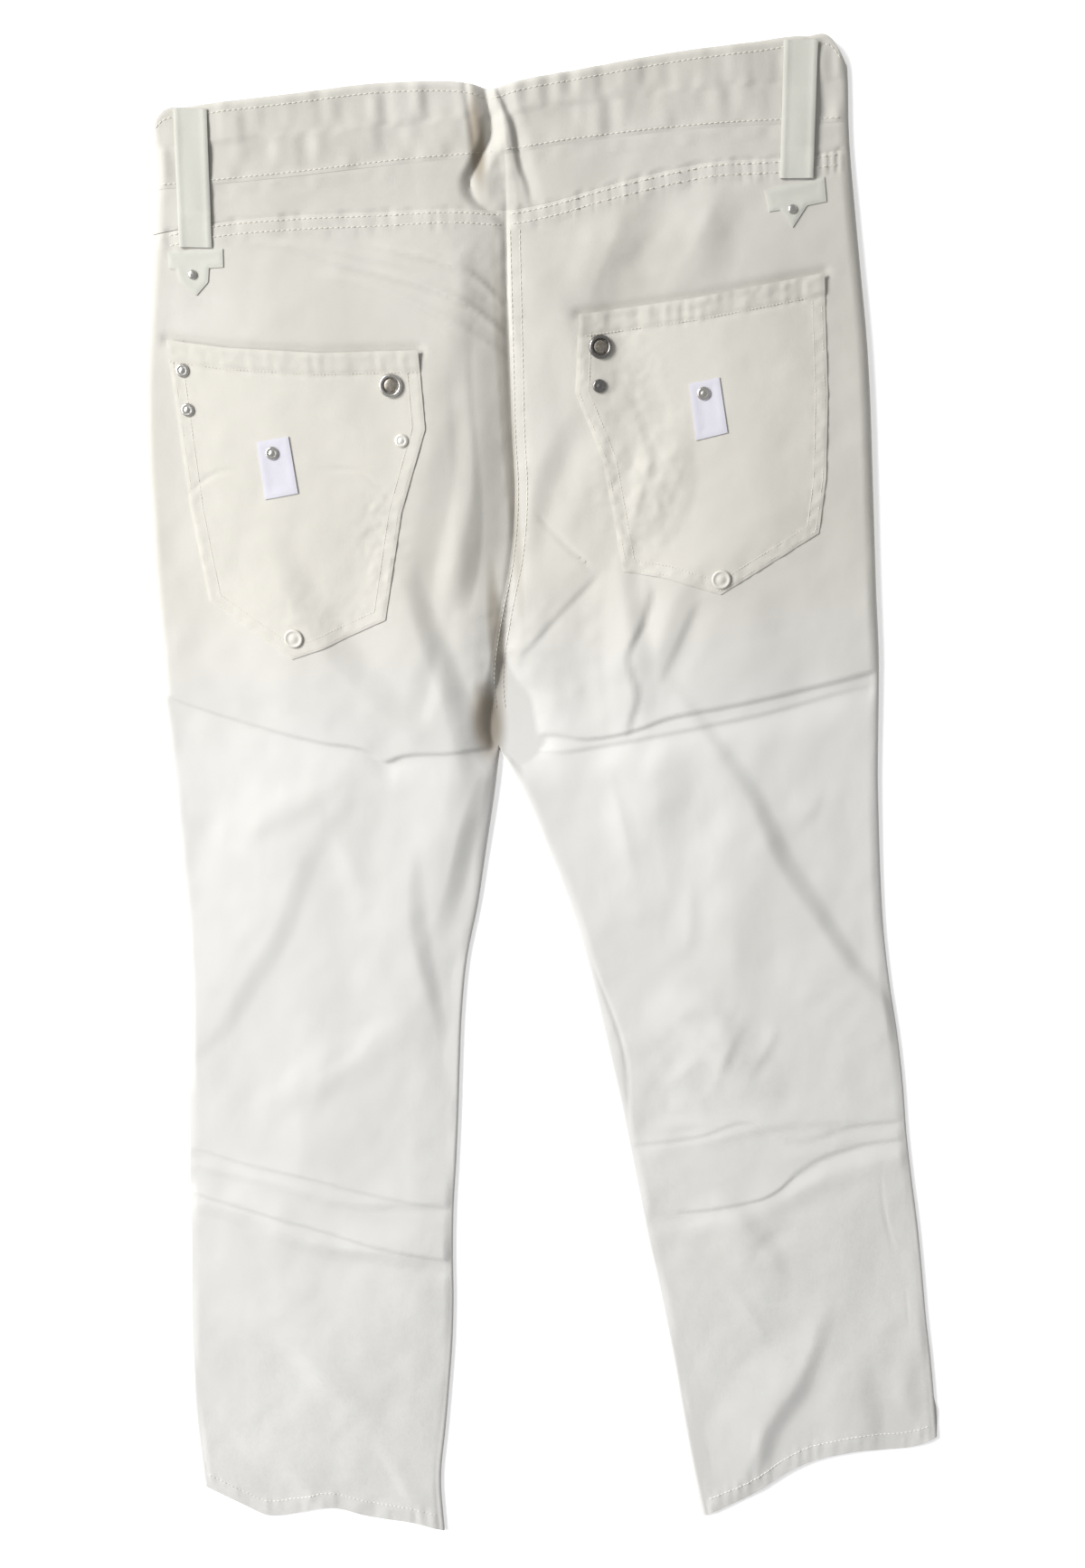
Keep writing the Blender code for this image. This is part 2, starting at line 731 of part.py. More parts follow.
def mesh_object(name, finish, points, faces):
    """An object of these points, in millimetres, and faces, with its normals turned out."""
    mesh = bpy.data.meshes.new(name)
    mesh.from_pydata([Vector(point) * MM for point in np.asarray(points, float).tolist()], [], faces)
    made = bmesh.new()
    made.from_mesh(mesh)
    bmesh.ops.recalc_face_normals(made, faces=made.faces)
    if made.calc_volume(signed=True) < 0:
        bmesh.ops.reverse_faces(made, faces=made.faces)
    made.to_mesh(mesh)
    made.free()
    mesh.materials.append(material_of(finish))
    item = bpy.data.objects.new(name, mesh)
    bpy.context.scene.collection.objects.link(item)
    return item


def prism(name, finish, outline, low, high):
    """A straight prism over an outline seen from above."""
    count = len(outline)
    points = [(p[0], p[1], low) for p in outline] + [(p[0], p[1], high) for p in outline]
    faces = [tuple(range(count))[::-1], tuple(range(count, 2 * count))]
    for a in range(count):
        b = (a + 1) % count
        faces.append((a, b, b + count, a + count))
    return mesh_object(name, finish, points, faces)


def add_boolean(item, cutter, operation):
    """Cuts item by cutter, which is hidden and left as a wire."""
    cutter.hide_render = True
    cutter.display_type = "WIRE"
    boolean = item.modifiers.new(operation.title(), "BOOLEAN")
    boolean.operation = operation
    boolean.object = cutter


# The upper layer


def build_back_panel(side):
    """One back panel: the seat and the back of the leg in one piece."""
    sign = -1 if side == "left" else 1
    x, y = panel_grid(side)
    crotch_row = len(x) - 1 - SEAT_ROWS
    borders = [
        (slice(None), 0, (sign, 0.0, 0.0)),
        (slice(0, crotch_row), -1, (-sign, 0.0, 0.0)),
        (slice(crotch_row, crotch_row + 1), -1, (-sign, -1.0, 0.0)),
        (slice(crotch_row + 1, None), -1, (0.0, 0.0, 1.0)),
    ]
    top = surface_points(x, y)
    normals = cut_normals(x, y, borders)
    closed_shell(f"back_{side}", CLOTH, top, top - BACK_WALL * normals)
    return top


def build_yoke(side):
    """One half of the yoke, between the panel and the waistband."""
    sign = -1 if side == "left" else 1
    upper = [Point(p.x, p.y - GAP / 2) for p in WAISTBAND_SEAM]
    x, y = band_grid(side, YOKE_SEAM, upper, YOKE_ROWS)
    top = surface_points(x, y)
    borders = [(slice(None), 0, (sign, 0.0, 0.0)), (slice(None), -1, (0.0, 0.0, 1.0))]
    normals = cut_normals(x, y, borders)
    closed_shell(f"yoke_{side}", CLOTH, top, top - BACK_WALL * normals)


def build_waistband_back():
    """The back waistband, one strip from side to side, pinched at the centre."""
    halves = [band_grid(side, WAISTBAND_SEAM, WAIST_EDGE, BAND_ROWS) for side in ("left", "right")]
    x = np.concatenate([halves[0][0][:, :-1], halves[1][0][:, ::-1]], axis=1)
    y = np.concatenate([halves[0][1][:, :-1], halves[1][1][:, ::-1]], axis=1)
    top = surface_points(x, y)
    borders = [(slice(None), 0, (-1.0, 0.0, 0.0)), (slice(None), -1, (1.0, 0.0, 0.0))]
    normals = cut_normals(x, y, borders)
    closed_shell("waistband_back", CLOTH, top, top - BACK_WALL * normals)


def build_patch(name, finish, outline, panel, low, high):
    """A patch of cloth on a panel, made from the panel's own points, moved out."""
    xs, ys = [p.x for p in outline], [p.y for p in outline]
    inside_x = (panel[..., 0] > min(xs) - PATCH_MARGIN) & (panel[..., 0] < max(xs) + PATCH_MARGIN)
    inside_y = (panel[..., 1] > min(ys) - PATCH_MARGIN) & (panel[..., 1] < max(ys) + PATCH_MARGIN)
    rows = np.flatnonzero((inside_x & inside_y).any(axis=1))
    columns = np.flatnonzero((inside_x & inside_y).any(axis=0))
    part = panel[rows[0] : rows[-1] + 1, columns[0] : columns[-1] + 1]
    out = np.array([0.0, 0.0, 1.0])
    patch = closed_shell(name, finish, part + high * out, part + low * out)
    cutter = prism(f"{name}_outline", finish, outline, -CUTTER_REACH, CUTTER_REACH)
    add_boolean(patch, cutter, "INTERSECT")
    return patch


def build_belt_loop(side):
    """A belt loop: a flat strip that stands a little off the waistband between its sewn ends."""
    loop = LOOPS[side]
    share = np.arange(LOOP_ROWS + 1) / LOOP_ROWS
    middle_x = loop.top_x + (loop.foot_x - loop.top_x) * share
    middle_y = loop.top_y + (loop.foot_y - loop.top_y) * share
    run = np.array([loop.foot_x - loop.top_x, loop.foot_y - loop.top_y])
    across = np.array([-run[1], run[0]]) / np.hypot(*run)
    offsets = np.linspace(-LOOP_WIDTH / 2, LOOP_WIDTH / 2, LOOP_COLUMNS)
    x = middle_x[:, None] + across[0] * offsets
    y = middle_y[:, None] + across[1] * offsets
    height = top_height(x, y).max(axis=1, keepdims=True) + np.zeros_like(x)
    arch = LOOP_CLEAR + loop.stand_off * np.sin(np.pi * share)[:, None]
    low = np.stack([x, y, height + arch], axis=-1)
    closed_shell(f"belt_loop_{side}", CLOTH, low + np.array([0.0, 0.0, LOOP_WALL]), low)


# The lower layer


def front_outline(side):
    """The front panel's outline: outer seam, waistband seam, centre front, inseam and hem."""
    inset = GAP if side == "left" else -GAP
    outer_ys = np.linspace(*FRONT_OUTER_YS, FRONT_STEPS)
    inner_ys = np.linspace(FRONT_INNER_FOOT_Y, CROTCH_Y, FRONT_STEPS // 2)
    hem = HEM_LEFT if side == "left" else HEM_RIGHT
    outer = [(section_edge(f"{side}_out", y) + inset, y) for y in outer_ys]
    inner = [(section_edge(f"{side}_in", y) - inset, y) for y in inner_ys[::-1]]
    start, end = outer[-1][0], CENTRE_X - inset / 2
    across = np.linspace(start, end, FRONT_SEAM_STEPS)
    seam = [(x, front_edge(x) - FRONT_BAND - GAP) for x in across]
    bottom = [(p.x, p.y + GAP) for p in hem if HEM_CORNER_IN < abs(p.x) < HEM_CORNER_OUT]
    return outer + seam + inner + bottom[::-1]


def front_edge(x):
    """Y of the front waistband's top edge, which dips towards the centre."""
    share = (x - FRONT_LEFT_X) / (FRONT_RIGHT_X - FRONT_LEFT_X)
    return FRONT_TOP_Y - FRONT_DIP * np.sin(np.pi * np.clip(share, 0.0, 1.0))


def build_front():
    """The flat front: two leg panels, two waistband ends, the fly placket and the waist button."""
    for side in ("left", "right"):
        prism(f"front_{side}", CLOTH, front_outline(side), 0.0, FRONT_WALL)
    prism("fly_placket", CLOTH, FLY, FRONT_WALL + GAP, FRONT_WALL + GAP + FLY_WALL)
    end = BUTTON.x + FLY_REACH
    spans = {"left": (FRONT_LEFT_X, end), "right": (end + GAP, FRONT_RIGHT_X)}
    bands = {}
    for side, (start, stop) in spans.items():
        across = np.linspace(start, stop, FRONT_BAND_STEPS)
        top = [(x, float(front_edge(x))) for x in across]
        low = [(x, y - FRONT_BAND) for x, y in top[::-1]]
        bands[side] = prism(f"waistband_front_{side}", CLOTH, low + top, 0.0, FRONT_WALL)
    hole_radius = BUTTON_RADIUS + GAP
    hole = turned("button_hole", METAL, disc(hole_radius, -FRONT_WALL, 2 * FRONT_WALL), BUTTON_SIDES)
    button = turned("waist_button", METAL, disc(BUTTON_RADIUS, 0.0, BUTTON_THICK), BUTTON_SIDES)
    for item in (hole, button):
        item.location = Vector((BUTTON.x, BUTTON.y, 0.0)) * MM
    add_boolean(bands["left"], hole, "DIFFERENCE")


# The metal trim


def disc(radius, low, high):
    """The profile of a plain disc."""
    return ((0.0, low), (radius, low), (radius, high), (0.0, high))


def turned(name, finish, profile, sides):
    """A turned piece: its profile, from the axis out and back, spun round Z."""
    points, rings = [], []
    for radius, height in profile:
        if radius == 0.0:
            rings.append([len(points)] * sides)
            points.append((0.0, 0.0, height))
            continue
        rings.append(list(range(len(points), len(points) + sides)))
        for k in range(sides):
            angle = 2 * np.pi * k / sides
            points.append((radius * np.cos(angle), radius * np.sin(angle), height))
    if profile[0][0] > 0.0:
        rings.append(rings[0])
    faces = []
    for lower, upper in zip(rings[:-1], rings[1:]):
        for k in range(sides):
            face = (lower[k], lower[(k + 1) % sides], upper[(k + 1) % sides], upper[k])
            faces.append(tuple(dict.fromkeys(face)))
    item = mesh_object(name, finish, points, faces)
    item.data.shade_smooth()
    item.data.set_sharp_from_angle(angle=SHARP_ANGLE)
    return item


def panel_tree(panel):
    """The panel's outer faces, to be read from above."""
    rows, columns = panel.shape[:2]
    return BVHTree.FromPolygons(panel.reshape(-1, 3).tolist(), grid_faces(rows, columns, 0, True))


def seat_on(tree, x, y, radius):
    """The point and the normal of a round foot that just clears the panel all over."""
    spots = [(0.0, 0.0)]
    for share in (0.5, 1.0):
        for k in range(FOOT_SPOTS):
            angle = 2 * np.pi * k / FOOT_SPOTS
            spots.append((share * radius * np.cos(angle), share * radius * np.sin(angle)))
    down = Vector((0.0, 0.0, -1.0))
    hits = [tree.ray_cast(Vector((x + dx, y + dy, CUTTER_REACH)), down)[0] for dx, dy in spots]
    points = np.array([tuple(hit) for hit in hits])
    middle = points.mean(axis=0)
    normal = np.linalg.svd(points - middle)[2][2]
    normal = normal if normal[2] > 0 else -normal
    proud = float(((points - middle) @ normal).max())
    axis_point = np.array([x, y, 0.0])
    axis_point[2] = middle[2] - ((axis_point - middle)[:2] @ normal[:2]) / normal[2]
    return Vector(axis_point + proud * normal), Vector(normal)


def build_trim(panels):
    """The studs and rivets, each square to the cloth that it stands on."""
    finishes = {"ring": METAL, "cap": DARK_METAL, "rivet": METAL, "small": METAL, "point": PAINT}
    trees = {side: panel_tree(panel) for side, panel in panels.items()}
    for trim in TRIMS:
        radius = max(r for r, _ in PROFILES["ring" if trim.kind == "cap" else trim.kind])
        foot, normal = seat_on(trees["left" if trim.x < 0 else "right"], trim.x, trim.y, radius)
        foot += normal * trim.out
        item = turned(trim.name, finishes[trim.kind], PROFILES[trim.kind], TRIM_SIDES)
        turn = normal.to_track_quat("Z", "Y").to_matrix().to_4x4()
        item.matrix_world = Matrix.Translation(foot * MM) @ turn


def build_jeans():
    """Builds the jeans from the floor up."""
    for item in list(bpy.data.objects):
        bpy.data.objects.remove(item, do_unlink=True)
    build_front()
    panels = {}
    for side in ("left", "right"):
        panel = panels[side] = build_back_panel(side)
        build_yoke(side)
        build_patch(f"pocket_{side}", CLOTH, POCKETS[side], panel, GAP, GAP + POCKET_WALL)
        build_patch(f"label_{side}", LABEL_CLOTH, LABELS[side], panel, LABEL_LIFT, LABEL_LIFT + LABEL_WALL)
        build_patch(f"loop_tab_{side}", CLOTH, TABS[side], panel, GAP, GAP + POCKET_WALL)
        build_belt_loop(side)
    build_waistband_back()
    build_trim(panels)


build_jeans()
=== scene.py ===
"""The looks of straight-leg cotton jeans, laid flat on a pale floor with their back side up.

Frame: +X to the wearer's right, +Y towards the waist, +Z up, origin on the floor at the middle of
the outline. Tables are in millimetres, and MM turns them into metres where a mesh is made.

One height field, Drape, says how high the cloth stands over the floor. Every piece of cloth is a
closed thin shell on that field, a little further out for each layer. Stitches, studs and rivets
stand on the same field.
"""

import logging
import math
from dataclasses import dataclass, field
from enum import Enum
from typing import Iterable, NamedTuple, Sequence

import bpy
import numpy as np
from mathutils import Matrix, Vector


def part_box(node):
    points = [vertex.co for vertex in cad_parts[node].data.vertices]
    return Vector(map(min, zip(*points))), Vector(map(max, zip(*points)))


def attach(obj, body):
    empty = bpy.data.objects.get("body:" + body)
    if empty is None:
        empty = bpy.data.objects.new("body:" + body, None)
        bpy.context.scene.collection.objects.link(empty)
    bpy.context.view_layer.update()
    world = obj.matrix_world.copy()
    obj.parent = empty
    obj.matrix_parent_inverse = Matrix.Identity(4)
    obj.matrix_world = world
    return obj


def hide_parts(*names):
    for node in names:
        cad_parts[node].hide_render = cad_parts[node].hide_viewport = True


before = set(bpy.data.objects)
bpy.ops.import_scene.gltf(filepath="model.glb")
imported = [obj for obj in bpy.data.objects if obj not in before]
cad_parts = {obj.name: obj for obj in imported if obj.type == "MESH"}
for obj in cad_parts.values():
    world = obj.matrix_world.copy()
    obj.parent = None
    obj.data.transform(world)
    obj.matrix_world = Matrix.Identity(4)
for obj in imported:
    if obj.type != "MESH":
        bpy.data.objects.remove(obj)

LOG = logging.getLogger("jeans")
MM = 0.001
BODY = "root"

Array = np.ndarray
Color = tuple[float, float, float]
Tree = bpy.types.NodeTree
Node = bpy.types.Node
Piece = bpy.types.Object

# Cloth and seams, in millimetres. The walls of the patches are thinner than the solids'.
FRONT_WALL = 1.4
BACK_WALL = 1.4
POCKET_WALL = 0.55
LABEL_WALL = 0.45
LOOP_WALL = 0.8
GAP = 0.3
LAYER_GAP = 0.1
EDGE_Z = FRONT_WALL + GAP
SIDE_ROUND = 8.0
SIDE_REACH = 90.0
INNER_REACH = 34.0
RIGHT_INNER_REACH = 85.0
CROTCH_X = -5.0
CROTCH_BLEND = 16.0
SIDE_SHARE = 0.58
LEAST_TOP = EDGE_Z + BACK_WALL + 0.15
CENTRE_X = 21.0
RIM_BULGE = 0.02
SHARP_ANGLE = 0.85
SEAM_GAP = 0.005
SIGNS = {"left": -1, "right": 1}

# Sockets of a colour mix
COLOR_A, COLOR_B, COLOR_OUT = 6, 7, 2
WHITE = (1.0, 1.0, 1.0, 1.0)
# The twill's ribs, in degrees from +X, and where the seat's and the waist's tone set in, in metres
RIB_TURN = 62.0
# The seat's and the waist's darker tone is painted light falloff towards the waist; the seat's warmer hue is
# the cloth's own
SEAT_RISE = {"From Min": 0.095, "From Max": 0.25}
WAIST_RISE = {"From Min": 0.12, "From Max": 0.52}
# Where the painted crease shade reaches full strength, as a share of its reach
CREASE_SHADE_CORE = 0.35


class Section(NamedTuple):
    """One cross-section of the outline: the four side edges at a height along the garment."""

    y: float
    left_out: float
    left_in: float
    right_in: float
    right_out: float


class Point(NamedTuple):
    """A point of the garment seen from above."""

    x: float
    y: float


class Station(NamedTuple):
    """A row of the cloth across one leg, from its outer seam to its inner one.

    The pitch is how far apart the rows above it stand, in millimetres.
    """

    name: str
    y_out: float
    y_in: float
    pitch: float


class Lift(NamedTuple):
    """How high the middle of the upper layer stands over its side edges."""

    y: float
    height: float


class Fold(NamedTuple):
    """A ridge, or a trough where height is negative, along an arc seen from above.

    The widths are those of its two slopes, left and right of the way from its start to its end.
    Its crest is round where soft is 1, and a sharp crease where it is 0.
    """

    name: str
    x0: float
    y0: float
    x1: float
    y1: float
    bow: float
    height: float
    left_width: float
    right_width: float
    soft: float


class Bed(NamedTuple):
    """A place on a channel: how far along, its middle across, its height and its two reaches across."""

    along: float
    across: float
    height: float
    before: float
    after: float


class Channel(NamedTuple):
    """A long crease or ridge through beds, which runs up the garment (y) or across it (x)."""

    name: str
    axis: str
    soft: float
    beds: tuple[Bed, ...]


class Wander(NamedTuple):
    """A slow wave that keeps the folds from running along perfect arcs."""

    reach: float
    per_x: float
    per_y: float
    start: float


class Crumple(NamedTuple):
    """Uneven cloth: noise of this length and width, with its length turned from +X by turn degrees."""

    name: str
    length: float
    width: float
    turn: float
    height: float
    seed: int


class Dapple(NamedTuple):
    """Small wrinkles inside an ellipse: its middle, its half sizes, the wrinkles' size and height."""

    name: str
    x: float
    y: float
    half_x: float
    half_y: float
    cell: float
    height: float
    seed: int


class Pucker(NamedTuple):
    """Short ripples square to a seam, between two distances from it."""

    name: str
    seam: str
    start: float
    stop: float
    pitch: float
    height: float
    seed: int


class Seam(NamedTuple):
    """A sewn seam: the groove at its line and the doubled cloth on its upper or right side."""

    name: str
    groove: float
    lap: float
    lap_width: float


class Trim(NamedTuple):
    """A stud or rivet: where it stands, and which kind it is."""

    name: str
    kind: str
    x: float
    y: float
    layer: float


class Turning(NamedTuple):
    """One ring of a turned profile: its radius, and its height over the foot."""

    radius: float
    height: float


def table(kind: type, *rows: tuple) -> tuple:
    """The rows of a table.

    Args:
        kind: the named tuple that a row is.
        rows: the values of each row.

    Returns:
        The rows as named tuples, in the same order.
    """
    return tuple(kind(*row) for row in rows)


def even_beds(before: float, after: float, *places: tuple[float, float, float]) -> tuple[Bed, ...]:
    """The beds of a channel that is as wide all along.

    Args:
        before: its reach across, before its middle.
        after: its reach beyond its middle.
        places: along, across and height of each bed.

    Returns:
        The beds.
    """
    return tuple(Bed(*place, before, after) for place in places)


# The outline, the lie of the cloth and its large folds. On the seat both inner edges of a section
# are the centre back seam.
CROTCH_Y = 111.0
SECTIONS = table(
    Section,
    (536, -186, 24, 24, 229), (515, -187, 22, 22, 230.5), (480, -190.5, 23, 23, 231),
    (440, -199.5, 21, 21, 234), (400, -208, 19, 19, 237.5), (360, -216, 17, 17, 241),
    (320, -221, 15, 15, 243), (280, -224, 14, 14, 244), (240, -227, 8, 8, 245), (200, -229.5, -3, -3, 246),
    (160, -232, -11, -11, 247.5), (CROTCH_Y, -234.5, -9, -9, 247), (80, -236, -15, 4, 246.5),
    (40, -238, -24, 17, 247), (0, -241, -33, 29, 248), (-40, -244.5, -44, 38.5, 250),
    (-80, -249.5, -51, 45.5, 254), (-120, -254.5, -56, 51.5, 259.5), (-160, -259.5, -60.5, 57.5, 263.5),
    (-200, -265, -65.5, 62.5, 266), (-240, -269.5, -71, 67.5, 270), (-280, -274.5, -75, 72.5, 274.5),
    (-320, -280, -78, 78.5, 278), (-360, -284, -82.5, 83.5, 281), (-400, -288, -88.5, 88, 285),
    (-440, -289.5, -95, 92, 288), (-480, -290.5, -102, 96.5, 290.5), (-536, -290.5, -104, 104, 290.5),
)
WAIST_EDGE = table(
    Point,
    (-186.5, 517), (-181, 521.5), (-165, 523), (-106, 525.5), (-35, 527.5), (4, 524), (19, 520), (28, 522),
    (72, 527), (124, 532), (175, 534.5), (206, 535.5), (224, 531), (230, 519),
)
WAISTBAND_SEAM = table(
    Point,
    (-191, 478), (-107, 479.5), (-40, 482), (22, 483), (62, 486), (150, 489), (231, 487),
)
YOKE_SEAM = table(
    Point,
    (-199, 452), (-154, 457), (-108, 457.5), (-59, 456), (-8, 454.5), (21, 451.5), (47, 454), (78, 460),
    (107, 465), (149, 470), (187, 469.5), (233, 472),
)
HEM_LEFT = table(
    Point,
    (-290.5, -478), (-259, -500), (-246, -509), (-220, -509), (-195, -504.5), (-163, -516), (-124, -527),
    (-104, -535.5),
)
HEM_RIGHT = table(Point, (290.5, -472), (279, -477), (220, -481), (178, -493), (146, -515), (104, -535.5))
LEG_STATIONS = {
    "left": table(
        Station,
        ("hem", -478, -535.5, 4.6), ("shin", -232, -306, 1.7), ("lower knee crease", -216, -290, 1.8),
        ("between knee creases", -196, -267, 1.8), ("upper knee crease", -180, -245, 1.8),
        ("above knee", -160, -224, 4.2), ("below thigh crease", 142, 88, 1.6),
        ("thigh crease", 159, 103, 1.6), ("crotch", 168, CROTCH_Y, 1.85),
    ),
    "right": table(
        Station,
        ("hem", -472, -535.5, 4.6), ("shin", -228, -280, 1.7), ("lower knee crease", -211, -262, 1.8),
        ("between knee creases", -199, -232, 1.8), ("upper knee crease", -190, -203, 1.8),
        ("above knee", -172, -186, 4.2), ("below thigh crease", 120, 88, 1.6),
        ("thigh crease", 136, 103, 1.6), ("crotch", 146, CROTCH_Y, 1.85),
    ),
}
LIFTS = table(
    Lift,
    (-536, 1.8), (-470, 2.8), (-250, 3.6), (0, 4.6), (110, 7.2), (250, 8.4), (420, 7.6), (480, 6.2),
    (536, 5.6),
)
FOLDS = table(
    Fold,
    ("left cheek", -80, 500, -110, 60, 0, 2.2, 120, 110, 1),
    ("right cheek", 140, 500, 130, 80, 0, 2, 90, 110, 1),
    ("left seat ridge", -10, 480, -34, 130, 7, 3, 26, 80, 0.9),
    ("left seat hollow", -22, 390, -46, 190, 6, -2, 14, 20, 0.8),
    ("right seat ridge", 62, 500, 30, 236, 6, 1.8, 40, 50, 0.9),
    ("left crotch swell", -58, 262, -32, 74, -8, 5, 23, 60, 0.9),
    ("right crotch swell", 30, 206, 30, 84, -6, 2.6, 34, 34, 0.9),
    ("right hip swell", 84, 262, 74, 84, 4, 3.4, 17, 56, 0.8),
    ("right branch", -2, 172, 76, 246, 4, 1.1, 36, 22, 0.7),
    ("right inner trough", 70, 344, 30, 220, -8, -1.8, 22, 18, 0.9),
    ("right hip band", 84, 118, 142, 244, 5, 1.9, 44, 18, 0.8),
    ("right pocket sweep", 88, 226, 124, 322, 4, 2.2, 30, 18, 0.8),
    ("right yoke sweep", 62, 384, 104, 474, 0, 1.6, 26, 40, 0.9),
    ("left pocket foot band", -150, 272, -50, 100, -16, 3.4, 24, 70, 0.8),
    ("left thigh sweep", -92, 128, -284, -138, 6, 1.6, 17, 100, 0.8),
    ("left inseam swell", -24, 118, -66, -24, 4, 3.4, 16, 60, 0.8),
    ("left inseam fold", -74, 50, -76, -120, -3, 2.6, 14, 60, 0.8),
    ("left mid ripple", -90, -78, -208, -140, 4, 1, 30, 20, 0.9),
    ("left upper knee", -330, -164, -10, -250, -8, 1.1, 26, 9, 0.7),
    ("left lower knee", -330, -196, -20, -298, -9, 2.6, 30, 16, 0.7),
    ("left shin sweep", -240, -310, -124, -448, 4, 2.4, 50, 24, 0.9),
    ("left hem fold", -244, -430, -186, -536, 0, 2.4, 36, 18, 0.8),
    ("right thigh sweep", 92, 166, 294, -160, -6, 3.6, 13, 90, 0.7),
    ("right thigh post", 78, 150, 100, -10, 5, 1.8, 24, 40, 0.8),
    ("right inner sweep", 158, 90, 128, -142, 5, 1.6, 34, 60, 0.8),
    ("right knee ripple", 90, -70, 176, -180, 4, 2.6, 22, 40, 0.9),
    ("right upper knee", 10, -208, 290, -186, 5, 0.8, 26, 9, 0.7),
    ("right lower knee", 10, -280, 340, -193, -11, 0.8, 24, 20, 0.8),
    ("right knee fork", 126, -234, 172, -326, 4, 2.2, 15, 36, 0.8),
    ("right shin ridge", 204, -330, 100, -536, 16, 3.2, 18, 50, 0.7),
    ("right hem fold", 222, -380, 244, -516, 0, 2, 22, 40, 1),
)
FOLD_END_WIDTH = 0.6
FOLD_END_FADE = 1.3
CHANNEL_FADE = 10.0
WANDER_X = (Wander(4.5, 0.004, 0.029, 1.3), Wander(2.2, 0.047, 0.041, 0.4))
WANDER_Y = (Wander(4.5, 0.026, 0.006, 0.7), Wander(2.2, 0.039, -0.049, 2.1))

# Smaller folds, which only show as shading
SMALL_FOLDS = table(
    Fold,
    ("right inseam line", 34, 36, 77, -226, -3, -0.5, 3, 3, 0.6),
    ("left inseam line", -40, 0, -72, -176, 3, -0.4, 3, 3, 0.6),
    ("right side seam line", 252, -218, 262, -390, 0, -0.4, 3, 3, 0.6),
    ("left crotch trough", -68, 130, -44, 190, 0, -0.9, 14, 10, 0.8),
    ("left hem ripple a", -260, -420, -228, -500, 2, 0.8, 16, 10, 0.8),
    ("left hem ripple b", -150, -430, -128, -530, 2, 0.8, 20, 10, 0.8),
    ("left shin hollow", -236, -232, -150, -300, -6, -1, 30, 30, 1),
    ("left thigh soft band", -206, 188, -136, 148, -4, 0.8, 18, 12, 0.9),
    ("left thigh diagonal", -108, 104, -190, 62, 3, 0.9, 16, 20, 0.9),
    ("left thigh dent", -232, 90, -186, 52, 0, -0.7, 12, 16, 0.9),
    ("left mid dimple", -122, -96, -160, -116, 0, -0.6, 10, 12, 0.9),
    ("right thigh tuck", 118, 104, 148, 50, 2, 1, 12, 20, 0.8),
    ("right thigh tuck b", 206, 74, 182, 38, 0, 0.8, 10, 18, 0.8),
    ("right hip tuck", 122, 300, 104, 232, 3, 0.9, 10, 26, 0.8),
    ("right hip tuck b", 130, 204, 104, 150, 2, 0.9, 12, 20, 0.8),
    ("right knee dent", 104, -92, 130, -112, 0, -0.9, 14, 14, 0.9),
    ("right knee dent b", 144, -132, 166, -150, 0, -0.8, 12, 14, 0.9),
    ("right shin dent", 148, -300, 186, -276, 3, -0.9, 14, 16, 0.9),
    ("right hem ripple a", 160, -440, 142, -510, 3, 0.9, 14, 10, 0.8),
    ("right hem ripple b", 262, -400, 276, -470, 2, 0.9, 14, 14, 0.9),
    ("right hip line", 96, 450, 68, 380, 3, 2.2, 22, 24, 0.7),
    ("right hip line b", 160, 464, 116, 396, 3, 2.4, 26, 30, 0.7),
    ("right pocket fold", 50, 404, 80, 226, 0, 2.4, 46, 24, 0.7),
    ("right pocket crease a", 80, 346, 98, 262, 2, 0.9, 8, 16, 0.4),
    ("right pocket crease b", 98, 300, 90, 238, -2, 0.8, 7, 14, 0.4),
    ("right knee star a", 96, -96, 142, -142, 2, 0.8, 9, 12, 0.3),
    ("right knee star b", 148, -96, 122, -158, -2, 0.9, 9, 14, 0.3),
    ("right knee star c", 84, -150, 120, -124, 2, 0.6, 8, 8, 0.3),
    ("right knee star d", 168, -104, 146, -152, 2, 0.9, 8, 16, 0.3),
    ("right knee star e", 76, -176, 128, -182, 3, 0.7, 8, 10, 0.3),
    ("left thigh line a", -184, 108, -118, 60, -3, 0.7, 12, 16, 0.3),
    ("left thigh line b", -128, 66, -104, 8, 2, 0.6, 12, 14, 0.3),
    ("right thigh line a", 60, 92, 78, 12, 2, 0.8, 10, 16, 0.3),
    ("right thigh line b", 120, 10, 108, -52, 2, 0.8, 12, 18, 0.3),
    ("right shin line a", 120, -316, 156, -372, 3, 0.7, 10, 14, 0.3),
    ("left shin line a", -206, -352, -142, -404, -3, 0.9, 22, 16, 0.3),
)

